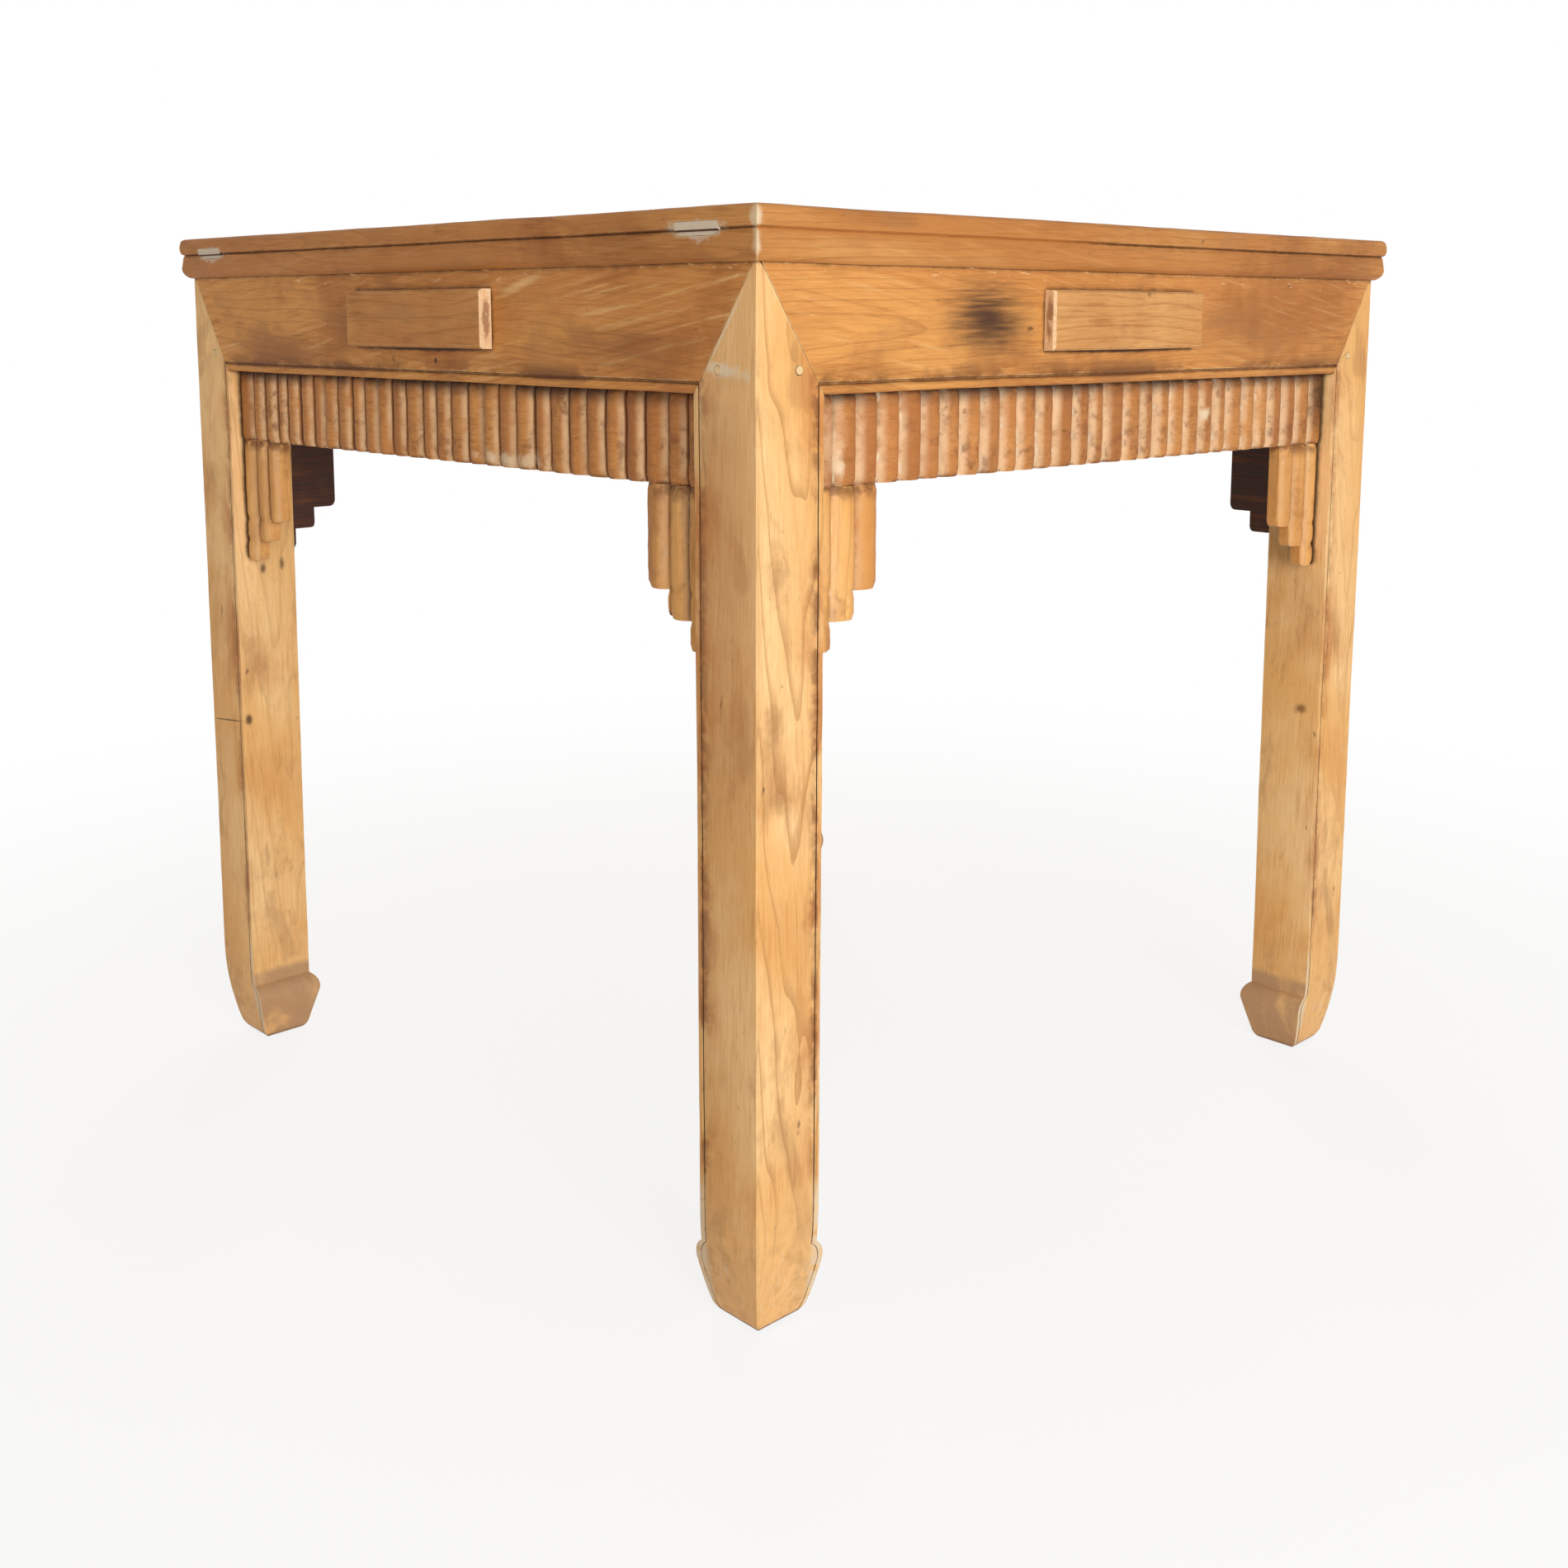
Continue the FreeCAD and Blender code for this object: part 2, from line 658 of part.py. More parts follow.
# Drawers, in the front drawer's place and shut
def drawer_tail(x0, x1, clearance):
    """The dovetail at a drawer side's front end, or its socket in the drawer front with a clearance."""
    middle = (floor_top + drawer_top) / 2
    root = dovetail_root / 2 + clearance
    tip = dovetail_tip / 2 + clearance
    back = drawer_head_thickness - leg_face
    front = back - dovetail_length - clearance
    return polygon_prism([V(x0, back, middle - root), V(x0, front, middle - tip), V(x0, front, middle + tip),
                          V(x0, back, middle + root)], across * (x1 - x0))


def drawer_floor(clearance):
    """The drawer bottom, or the groove that holds it with a clearance."""
    half = drawer_half - drawer_side_thickness + drawer_groove_depth + clearance
    return side_box(-half, half, drawer_head_thickness - drawer_groove_depth - clearance,
                    drawer_depth + clearance, floor_bottom - clearance, floor_top + clearance)


def drawer_rear(clearance):
    """The drawer back, or its housing in the sides with a clearance."""
    half = drawer_half - drawer_side_thickness + drawer_back_housing + clearance
    end = drawer_depth - drawer_back_setback
    return side_box(-half, half, end - drawer_back_thickness - clearance, end + clearance,
                    floor_top + joint_clearance, drawer_top + clearance)


def make_drawer_face():
    """The drawer front: a raised block that laps over its slot, with a head inside the slot."""
    half = drawer_face_width / 2
    back = -slide_clearance
    front = back - drawer_face_thickness
    block = side_box(-half, half, front, back, face_bottom, face_top)
    front_edges = [e for e in block.Edges if all(p.Point.y < back - leg_face for p in e.Vertexes)]
    block = block.makeChamfer(drawer_face_chamfer, front_edges)
    head = side_box(-drawer_half, drawer_half, back, drawer_head_thickness, drawer_bottom, drawer_top)
    socket = drawer_tail(-drawer_half - cut_overrun, drawer_side_thickness + joint_clearance - drawer_half,
                         joint_clearance)
    return cut_all(joined(block, [head]), both_ends(socket) + [drawer_floor(joint_clearance)])


def make_drawer_side():
    """The left drawer side, dovetailed to the front, housing the back and grooved for the bottom."""
    left = -drawer_half
    right = left + drawer_side_thickness
    body = side_box(left, right, drawer_head_thickness, drawer_depth, drawer_bottom, drawer_top)
    side = joined(body, [drawer_tail(left, right, 0)])
    return cut_all(side, [drawer_floor(joint_clearance), drawer_rear(joint_clearance)])


# The whole table, piece by piece
def side_pieces():
    """Every piece that the front side has, by the name it takes after its side's."""
    pieces = {"apron": make_apron(), "frieze": make_frieze(), "drawer_face": make_drawer_face(),
              "drawer_back": drawer_rear(0), "drawer_bottom": drawer_floor(0)}
    pieces["spandrel_left"], pieces["spandrel_right"] = both_ends(make_left_spandrel())
    pieces["drawer_side_left"], pieces["drawer_side_right"] = both_ends(make_drawer_side())
    return pieces


def all_pieces():
    """Every piece of the table in its place, by name."""
    leg = make_leg()
    pieces = {f"leg_{corner}": turned(leg, degrees) for corner, degrees in corners.items()}
    for name, shape in side_pieces().items():
        for side, degrees in sides.items():
            pieces[f"{side}_{name}"] = turned(shape, degrees)
    pegs = [turned(peg, degrees) for degrees in sides.values() for peg in both_ends(leg_peg(0))]
    pieces["leg_pegs"] = Part.makeCompound(pegs)
    pieces["top_rail_front"], pieces["top_rail_back"] = front_and_back(make_long_rail())
    pieces["top_rail_left"], pieces["top_rail_right"] = both_ends(make_end_rail())
    for index in range(board_count):
        pieces[f"top_board_{index + 1}"] = make_board(index)
    for index, x in enumerate(batten_places()):
        pieces[f"top_batten_{index + 1}"] = make_batten(x)
    pieces["bearer_long_left"], pieces["bearer_long_right"] = both_ends(make_long_bearer())
    for side in ("left", "right"):
        for end, shape in zip(("left", "right"), both_ends(make_cross_bearer())):
            pieces[f"{side}_bearer_{end}"] = turned(shape, sides[side])
    return pieces


os.makedirs("parts", exist_ok=True)
for name, shape in all_pieces().items():
    shape.exportStep(f"parts/{name}.step")
    print(name, "valid" if shape.isValid() else "NOT VALID", len(shape.Solids), round(shape.Volume))
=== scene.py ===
import math
import random
import bmesh
import bpy
from mathutils import Matrix, Vector, noise


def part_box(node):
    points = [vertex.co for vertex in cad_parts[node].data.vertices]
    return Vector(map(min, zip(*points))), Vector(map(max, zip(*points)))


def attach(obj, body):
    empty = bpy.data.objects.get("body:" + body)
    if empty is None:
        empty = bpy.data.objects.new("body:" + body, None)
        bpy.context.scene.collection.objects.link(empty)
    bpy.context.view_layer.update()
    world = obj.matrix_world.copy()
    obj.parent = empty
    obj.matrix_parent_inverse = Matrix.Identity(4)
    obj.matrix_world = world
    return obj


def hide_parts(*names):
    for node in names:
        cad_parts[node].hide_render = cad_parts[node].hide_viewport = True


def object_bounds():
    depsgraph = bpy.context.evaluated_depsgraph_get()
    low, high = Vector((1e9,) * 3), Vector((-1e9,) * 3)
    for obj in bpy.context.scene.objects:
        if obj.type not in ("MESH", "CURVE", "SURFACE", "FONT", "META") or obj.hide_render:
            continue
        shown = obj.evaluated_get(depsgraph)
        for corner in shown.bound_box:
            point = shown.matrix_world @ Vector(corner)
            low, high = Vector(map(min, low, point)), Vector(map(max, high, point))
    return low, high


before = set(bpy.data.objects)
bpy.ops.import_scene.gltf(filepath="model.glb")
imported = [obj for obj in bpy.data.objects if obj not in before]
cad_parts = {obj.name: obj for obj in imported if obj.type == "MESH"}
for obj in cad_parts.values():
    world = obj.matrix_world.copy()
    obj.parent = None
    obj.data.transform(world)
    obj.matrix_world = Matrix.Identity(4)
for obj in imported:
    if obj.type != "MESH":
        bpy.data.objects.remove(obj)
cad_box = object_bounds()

# An old elm table for eight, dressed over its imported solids. Metres, +Z up, and the front side faces -Y.

# Places on the front side that the worn pieces share with the solids
leg_face = 0.435
leg_inner_face = 0.367
rail_face = 0.445
apron_bottom = 0.730
frieze_bottom = 0.659
spandrel_bottoms = (0.533, 0.555, 0.577)
bead_top = 0.7375
apron_top = 0.825
edge_groove_height = 0.8483
edge_groove_half = 0.001
edge_groove_depth = 0.004
reed_crest = 0.010
reed_back = 0.026
reed_count = 30
reed_pitch = 2 * leg_inner_face / reed_count
peg_inset = 0.042
peg_height = 0.748
peg_radius = 0.0035
peg_length = 0.008
peg_proud = 0.0003
peg_taper_share = 0.9
peg_sides = 20
sole_middle = 0.39675
sole_half_width = 0.0245

# Hand carving of the reeds
half_unit = 0.5
columns_per_reed = 12
row_height = 0.0055
reed_depth = 0.0060
reed_depth_spread = 0.0012
reed_crest_spread = 0.0007
reed_width_spread = 0.0022
reed_waver = 0.0011
reed_waver_length = 0.045
reed_dent = 0.0005
reed_dent_length = 0.011
reed_fullness = 2.2
reed_lean_share = 0.28
reed_end_ease = 0.0016
step_round = 0.0065

# Wear that every old piece shares, so that joints stay shut
wobble_length = 0.13
wobble_reach = 0.0005
wobble_seed = 3
ripple_length = 0.024
ripple_reach = 0.0002
slice_step = 0.009
merge_distance = 0.00001
flat_angle = math.radians(1)
sharp_angle = math.radians(32)
bead_round = 0.0021
bead_segments = 3
joint_ease = 0.0006
sole_round_height = 0.012
sole_round_inset = 0.0055
sole_cuts = (0.0003, 0.0012, 0.0027, 0.0048, 0.0075)
facing_share = 0.7
flush_share = 0.95
putty_sunk = 0.0008
tenon_middle = 0.380
tenon_half = 0.025
tenoned_sides = ("front", "back")

across = Vector((1, 0, 0))
into = Vector((0, 1, 0))
up = Vector((0, 0, 1))
turns = {"front": 0, "right": 90, "back": 180, "left": 270}
leg_turns = {"front_left": 0, "front_right": 90, "back_right": 180, "back_left": 270}
side_grain = {"front": "x", "back": "x", "left": "y", "right": "y"}
grain_turns = {"x": (0, 0, 0), "y": (0, 0, -math.pi / 2), "z": (0, math.pi / 2, 0)}


# Colours and nodes
def linear(hex_colour):
    """An sRGB hex colour as linear red, green, blue and a full alpha."""
    shares = [int(hex_colour[place:place + 2], 16) / 255 for place in (1, 3, 5)]
    curved = [s / 12.92 if s <= 0.04045 else ((s + 0.055) / 1.055) ** 2.4 for s in shares]
    return (*curved, 1.0)


def add(tree, kind, output, inputs, **settings):
    """Adds a node with its settings and its inputs, values or other nodes' outputs, and gives one output."""
    made = tree.nodes.new(kind)
    for key, value in settings.items():
        setattr(made, key, value)
    sockets = {socket.identifier: socket for socket in made.inputs}
    for key, value in inputs.items():
        if isinstance(value, bpy.types.NodeSocket):
            tree.links.new(value, sockets[key])
        else:
            sockets[key].default_value = value
    return next(socket for socket in made.outputs if socket.identifier == output)


def started(name):
    """A new material, its node tree and its shader."""
    material = bpy.data.materials.new(name)
    material.use_nodes = True
    return material, material.node_tree, material.node_tree.nodes["Principled BSDF"]


def along_grain(tree, place, grain, pith, lean=0):
    """Coordinates whose X runs along the grain, counted from the middle of the log, which may lean."""
    centred = add(tree, "ShaderNodeMapping", "Vector", {"Vector": place, "Location": [-p for p in pith]})
    laid = add(tree, "ShaderNodeMapping", "Vector", {"Vector": centred, "Rotation": grain_turns[grain]})
    return add(tree, "ShaderNodeMapping", "Vector", {"Vector": laid, "Rotation": (0, lean, lean)})


def drawn_patterns(tree, log, sizes):
    """Cloudy patterns by name, each with its length along the grain, width across it, detail and slant."""
    drawn = {}
    for name, (length, width, detail, slant) in sizes.items():
        leaning = add(tree, "ShaderNodeMapping", "Vector", {"Vector": log, "Rotation": (0, slant, 0)})
        scaled = add(tree, "ShaderNodeMapping", "Vector",
                     {"Vector": leaning, "Scale": (1 / length, 1 / width, 1 / width)})
        drawn[name] = add(tree, "ShaderNodeTexNoise", "Fac",
                          {"Vector": scaled, "Scale": 1.0, "Detail": detail,
                           "Roughness": pattern_roughness, "Distortion": pattern_distortion})
    return drawn


def layered(tree, colour, layers):
    """Colours laid over one another, each as strong as all the patterns that it follows allow."""
    for tint, strength, places in layers:
        share = strength
        for pattern, start, full in places:
            share = add(tree, "ShaderNodeMapRange", "Result",
                        {"Value": pattern, "From Min": start, "From Max": full, "To Max": share},
                        interpolation_type="SMOOTHSTEP")
        colour = add(tree, "ShaderNodeMix", "Result_Color",
                     {"Factor_Float": share, "A_Color": colour, "B_Color": tint}, data_type="RGBA")
    return colour


def surfaced(tree, shader, colour, height, depth, roughness):
    """Gives a shader its colour, its relief of a real depth and its roughness between two values."""
    relief = add(tree, "ShaderNodeBump", "Normal",
                 {"Height": height, "Strength": relief_strength, "Distance": depth})
    rough = add(tree, "ShaderNodeMapRange", "Result",
                {"Value": height, "From Min": relief_shares[0], "From Max": relief_shares[1],
                 "To Min": roughness[0], "To Max": roughness[1]})
    tree.links.new(colour, shader.inputs["Base Color"])
    tree.links.new(relief, shader.inputs["Normal"])
    tree.links.new(rough, shader.inputs["Roughness"])


# Wood: colours, how strongly each kind of mark shows on a piece, and the growth rings
leg_tones = {"base": linear("#ebb46d"), "pale": linear("#fad297"), "deep": linear("#ce9050"),
             "patchy": 0.5, "flames": 0.5, "combed": 0.12, "dirty": 0.7}
far_leg_tones = {**leg_tones, "flames": 0.22, "dirty": 0.45}
apron_tones = {"base": linear("#cf8d4a"), "pale": linear("#df9f57"), "deep": linear("#a0602a"),
               "patchy": 0.7, "flames": 0.35, "combed": 0.3}
shaded_apron_tones = {**apron_tones, "combed": 0.5}
rail_tones = {"base": linear("#bf7e40"), "pale": linear("#d29756"), "deep": linear("#945824"),
              "patchy": 0.7, "flames": 0.4, "combed": 0.1}
drawer_tones = {"base": linear("#cd9254"), "pale": linear("#dba566"), "deep": linear("#a86a35"),
                "patchy": 0.5, "flames": 0.45, "combed": 0.1}
# For the carved pieces, one strength sets the painted highlight and the chalky rims on the reeds' lit flanks
frieze_tones = {"base": linear("#c17f42"), "pale": linear("#d19353"), "deep": linear("#9a5c2c"),
                "patchy": 0.5, "flames": 0.3, "combed": 0.1, "highlight_and_wear": 0.9, "blotchy": 0.7}
spandrel_tones = {"base": linear("#e9ae63"), "pale": linear("#f5c682"), "deep": linear("#c58341"),
                  "patchy": 0.5, "flames": 0.3, "combed": 0.15, "highlight_and_wear": 0.4, "blotchy": 0.3}
late_wood = linear("#96602e")
smudge = linear("#a57446")
pore_brown = linear("#6a4020")
# Dark brown for grime, and for the painted shade in hollows, grooves and under parts
grime_and_shade = linear("#38200d")
brown_dirt = linear("#6b3c17")
bare_edge = linear("#f0d4a2")
scratch = linear("#efc587")
# Pale peach: painted highlight on the reeds' lit flanks, and a worn patch on the front frieze
flank_highlight_and_wear = linear("#e6c095")
lime = linear("#e2ccab")
blotch = linear("#7d4923")
# Amber: patina beside the legs' beads, and painted warm shade on the reeds' unlit flanks
amber_and_flank_shade = linear("#b8662a")
# Warm orange, painted over the near leg's left face as the warm tint of its shade
warm_painted_shade = linear("#c07a3a")
soot = linear("#3a1e10")
filler = linear("#d8cab6")
rubbed_toe = linear("#b18a68")
rubbed_end = linear("#8f6242")
dull = linear("#a9794a")
ring_spacing = 0.0065
ring_waver = 10.0
leg_ring_spacing = 0.0036
leg_ring_waver = 5.0
waver_scale = 0.5
waver_roughness = 0.4
ring_run_share = 6
wave_turns = 20
log_lean = math.radians(1.4)
log_reach = 0.07
pith_wander_share = 0.3
piths = random.Random(5)

# Patterns: length along the grain, width across it, detail and slant
pattern_roughness = 0.6
pattern_distortion = 0.3
elm_patterns = {
    "fibres": (0.070, 0.0011, 3.0, 0),
    "pores": (0.013, 0.0009, 1.0, 0),
    "streaks": (0.060, 0.0030, 3.0, 0),
    "clouds": (0.340, 0.1300, 4.0, 0),
    "smudges": (0.080, 0.0380, 5.0, math.radians(8)),
    "patches": (0.170, 0.1400, 4.0, math.radians(20)),
    "flecks": (0.026, 0.0120, 2.0, 0),
    "combing": (0.150, 0.0042, 4.0, math.radians(-11)),
    "dashes": (0.016, 0.0045, 3.0, 0),
    "ragged": (0.011, 0.0110, 3.0, 0),
}

# Relief and gloss of the old surfaces
groove_reach = 0.006
edge_reach = 0.0022
relief_depth = 0.0007
peg_relief_depth = 0.00035
relief_strength = 0.5
relief_shares = (0.2, 0.8)
frayed_hollow_share = 0.45
fleck_relief_share = -0.6
cloud_relief_share = 1.2
wax_gloss = 0.3
wax_roughness = (0.46, 0.60)
sawn_roughness = (0.55, 0.70)
lacquer_roughness = (0.50, 0.75)
softwood_roughness = (0.62, 0.85)
peg_roughness = (0.50, 0.60)

# Wear on the legs: how far in from a bead, or between which heights
amber_reach = 0.034
bead_dirt_reach = 0.018
bead_groove = (0.003, 0.006)
outward_shares = (0.0, 0.2)
worn_foot = (0.15, 0.04)
scuffed_foot = (0.13, 0.06)
toe_heights = (0.125, 0.100)
toe_rim = (0.011, 0.003)
toe_tops = (0.083, 0.074)


def wood_layers(tones, drawn, rings, flame_places, hollow, bend):
    """Tone, flames, fibres, smudges, pores, slanting streaks, grime and painted shade in the hollows, bare
    edges and nicks.
    """
    return [
        (tones["pale"], 1.0, [(drawn["clouds"], 0.38, 0.62)]),
        (tones["deep"], tones["patchy"], [(drawn["patches"], 0.47, 0.68)]),
        (late_wood, tones["flames"], [(rings, 0.74, 1.0), (drawn["clouds"], 0.26, 0.52)] + flame_places),
        (tones["deep"], 0.35, [(drawn["fibres"], 0.3, 0.75)]),
        (tones["deep"], 0.6, [(drawn["streaks"], 0.50, 0.68), (drawn["patches"], 0.40, 0.58)]),
        (smudge, 0.4, [(drawn["smudges"], 0.53, 0.67)]),
        (pore_brown, 0.45, [(drawn["pores"], 0.64, 0.78), (rings, 0.1, 0.9)]),
        (tones["deep"], tones["combed"], [(drawn["combing"], 0.48, 0.34), (drawn["smudges"], 0.58, 0.42)]),
        (scratch, tones["combed"], [(drawn["combing"], 0.52, 0.72), (drawn["smudges"], 0.60, 0.44)]),
        (grime_and_shade, 0.65, [(drawn["flecks"], 0.71, 0.79)]),
        # Grime and painted shade where ambient occlusion finds a hollow
        (grime_and_shade, 0.9, [(hollow, 1.08, 0.70)]),
        (bare_edge, 0.75, [(bend, 0.97, 0.80), (hollow, 0.92, 1.12), (drawn["ragged"], 0.38, 0.58)]),
        (grime_and_shade, 0.7, [(bend, 0.98, 0.90), (drawn["dashes"], 0.64, 0.70)]),
    ]


def carving_layers(tree, tones, drawn):
    """Old reeds: painted highlight, with some wear, on the flank that faces the light, painted warm shade on
    the other flank, brown blotches, chalky rims and dark grooves of grime and painted shade.
    """
    groove, flank, tone = [add(tree, "ShaderNodeAttribute", "Fac", {}, attribute_name=key)
                           for key in ("groove", "flank", "tone")]
    return [
        (tones["deep"], 0.6, [(tone, 0.3, 1.0)]),
        # Painted warm shade on the flank turned away from the light
        (amber_and_flank_shade, 0.4, [(flank, -0.2, -0.9)]),
        # Painted highlight, with some wear, on the flank that faces the light
        (flank_highlight_and_wear, tones["highlight_and_wear"], [(flank, 0.25, 0.85), (drawn["smudges"], 0.28, 0.54)]),
        (blotch, tones["blotchy"], [(drawn["ragged"], 0.44, 0.70), (drawn["smudges"], 0.42, 0.60)]),
        (lime, tones["highlight_and_wear"], [(flank, 0.76, 0.92), (drawn["ragged"], 0.50, 0.66)]),
        # Dark grooves: grime and painted shade, fading out towards the lit flank
        (grime_and_shade, 0.8, [(groove, 0.86, 1.0), (flank, 0.9, 0.2), (drawn["ragged"], 0.28, 0.52)]),
    ]


def leg_layers(tree, place, true, tones, drawn, hollow):
    """A leg's wear: amber and brown beside its beads, a paler foot, a dull inner toe and whitish rims."""
    corner = add(tree, "ShaderNodeVectorMath", "Vector", {"Vector": place}, operation="ABSOLUTE")
    x = add(tree, "ShaderNodeSeparateXYZ", "X", {"Vector": corner})
    y, height = x.node.outputs["Y"], x.node.outputs["Z"]
    nearer = add(tree, "ShaderNodeMath", "Value", {"Value": x, "Value_001": y}, operation="MINIMUM")
    outward = add(tree, "ShaderNodeVectorMath", "Value", {"Vector": true, "Vector_001": place},
                  operation="DOT_PRODUCT")
    outer = (outward, *outward_shares)
    past_bead = (nearer, leg_inner_face + bead_groove[0], leg_inner_face + bead_groove[1])
    groove = leg_inner_face + bead_groove[1]
    return [
        (tones["pale"], 0.35, [(height, *worn_foot), (hollow, 0.92, 1.12)]),
        (dull, 0.3, [(height, *scuffed_foot), (drawn["ragged"], 0.42, 0.66), (drawn["smudges"], 0.34, 0.54)]),
        (lime, 0.45, [(height, *scuffed_foot), (drawn["dashes"], 0.60, 0.70), outer]),
        (amber_and_flank_shade, 0.5, [(nearer, leg_inner_face + amber_reach, groove), outer, (drawn["smudges"], 0.42, 0.6),
                      (height, toe_heights[1], worn_foot[0])]),
        (brown_dirt, tones["dirty"],
         [(nearer, leg_inner_face + bead_dirt_reach, groove), past_bead, outer,
          (height, toe_heights[1], worn_foot[0]), (drawn["ragged"], 0.34, 0.58),
          (drawn["smudges"], 0.34, 0.54)]),
        (rubbed_toe, 0.8, [(height, *toe_tops), (outward, 0, -outward_shares[1]),
                           (drawn["smudges"], 0.26, 0.52)]),
        (lime, 0.95, [(height, toe_heights[0], toe_heights[1]), outer,
                      (nearer, leg_inner_face + toe_rim[0], leg_inner_face + toe_rim[1]),
                      (drawn["ragged"], 0.28, 0.48)]),
    ]


def line_layers(tree, place, drawn, lines):
    """Dirt, painted shade and specks that lie along level lines of a piece, each broken up by one of the
    patterns.
    """
    height = add(tree, "ShaderNodeSeparateXYZ", "Z", {"Vector": place})
    return [(line["tint"], line["strength"],
             [(height, *reach) for reach in line["heights"]] + [(drawn[line["pattern"]], *line["spread"])])
            for line in lines]


def mark_layers(tree, place, drawn, marks):
    """Single marks: each is an ellipsoid about its centre, frayed by one of the patterns."""
    layers = []
    for mark in marks:
        local = add(tree, "ShaderNodeMapping", "Vector",
                    {"Vector": place, "Location": mark["centre"], "Scale": mark["reach"],
                     "Rotation": mark.get("turn", (0, 0, 0))}, vector_type="TEXTURE")
        distance = add(tree, "ShaderNodeVectorMath", "Value", {"Vector": local}, operation="LENGTH")
        frayed = add(tree, "ShaderNodeMath", "Value",
                     {"Value": drawn[mark["fray"]], "Value_001": mark["fray_share"], "Value_002": distance},
                     operation="MULTIPLY_ADD")
        half = mark["fray_share"] / 2
        layers.append((mark["tint"], mark["strength"], [(frayed, 1 + half, mark["core"] + half)]))
    return layers


def log_middle(node, leg):
    """A place for the middle of the log beside a piece. A leg's lies behind its flat-sawn front."""
    low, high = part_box(node)
    offset = Vector([piths.uniform(-1, 1) for axis in range(3)])
    if leg:
        offset = into + offset * pith_wander_share
    return (Vector(low) + Vector(high)) / 2 + offset * log_reach


def old_elm(name, node, grain, tones, lines=(), marks=(), carved=False, leg=False):
    """Elm planed by hand, waxed and worn for a century: growth rings that draw long flames, short dark pores,
    cloudy tone, fine scratches, grime and painted shade in the hollows, and pale bare edges."""
    material, tree, shader = started(name)
    shader.inputs["Specular IOR Level"].default_value = wax_gloss
    place = add(tree, "ShaderNodeTexCoord", "Object", {})
    log = along_grain(tree, place, grain, log_middle(node, leg), log_lean)
    drawn = drawn_patterns(tree, log, elm_patterns)
    spacing, waver = (leg_ring_spacing, leg_ring_waver) if leg else (ring_spacing, ring_waver)
    stretched = add(tree, "ShaderNodeMapping", "Vector", {"Vector": log, "Scale": (1 / ring_run_share, 1, 1)})
    rings = add(tree, "ShaderNodeTexWave", "Fac",
                {"Vector": stretched, "Scale": 2 * math.pi / (wave_turns * spacing), "Distortion": waver,
                 "Detail": 1.0, "Detail Scale": waver_scale, "Detail Roughness": waver_roughness},
                wave_type="RINGS", rings_direction="X", wave_profile="SAW")
    # Ambient occlusion marks the hollows that get grime and painted shade
    open_air = add(tree, "ShaderNodeAmbientOcclusion", "AO", {"Distance": groove_reach}, samples=6)
    hollow = add(tree, "ShaderNodeMath", "Value",
                 {"Value": drawn["ragged"], "Value_001": frayed_hollow_share, "Value_002": open_air},
                 operation="MULTIPLY_ADD")
    rounded = add(tree, "ShaderNodeBevel", "Normal", {"Radius": edge_reach}, samples=4)
    true = add(tree, "ShaderNodeNewGeometry", "Normal", {})
    bend = add(tree, "ShaderNodeVectorMath", "Value", {"Vector": rounded, "Vector_001": true},
               operation="DOT_PRODUCT")

    flame_places = []
    if leg:
        facing = add(tree, "ShaderNodeVectorMath", "Vector", {"Vector": true}, operation="ABSOLUTE")
        flat_sawn = add(tree, "ShaderNodeSeparateXYZ", "Y", {"Vector": facing})
        flame_places.append((flat_sawn, 0.1, 0.8))
    layers = wood_layers(tones, drawn, rings, flame_places, hollow, bend)
    if carved:
        layers += carving_layers(tree, tones, drawn)
    if leg:
        layers += leg_layers(tree, place, true, tones, drawn, hollow)
    layers += line_layers(tree, place, drawn, lines)
    layers += mark_layers(tree, place, drawn, marks)

    colour = layered(tree, tones["base"], layers)
    grain_height = add(tree, "ShaderNodeMath", "Value",
                       {"Value": drawn["flecks"], "Value_001": fleck_relief_share,
                        "Value_002": drawn["fibres"]}, operation="MULTIPLY_ADD")
    height = add(tree, "ShaderNodeMath", "Value",
                 {"Value": drawn["clouds"], "Value_001": cloud_relief_share, "Value_002": grain_height},
                 operation="MULTIPLY_ADD")
    surfaced(tree, shader, colour, height, relief_depth, wax_roughness)
    return material


end_patterns = {
    "dots": (0.0016, 0.0016, 2.0, 0),
    "stains": (0.012, 0.014, 3.0, 0),
    "splits": (0.0015, 0.010, 2.0, 0),
}


def elm_end_grain(name, grain, marks):
    """The sawn ends of a drawer front: pale and dusty, dotted with pores, with brown wear in the middle."""
    material, tree, shader = started(name)
    place = add(tree, "ShaderNodeTexCoord", "Object", {})
    drawn = drawn_patterns(tree, along_grain(tree, place, grain, (0, 0, 0)), end_patterns)
    colour = layered(tree, linear("#eac496"), mark_layers(tree, place, drawn, marks) + [
        (linear("#c89562"), 0.5, [(drawn["dots"], 0.45, 0.65)]),
        (linear("#f1d9b8"), 0.5, [(drawn["splits"], 0.58, 0.7)]),
    ])
    surfaced(tree, shader, colour, drawn["dots"], relief_depth, sawn_roughness)
    return material


lacquer_patterns = {
    "fibres": (0.060, 0.0016, 4.0, 0),
    "figure": (0.090, 0.012, 3.0, 0),
    "dust": (0.045, 0.045, 4.0, 0),
}


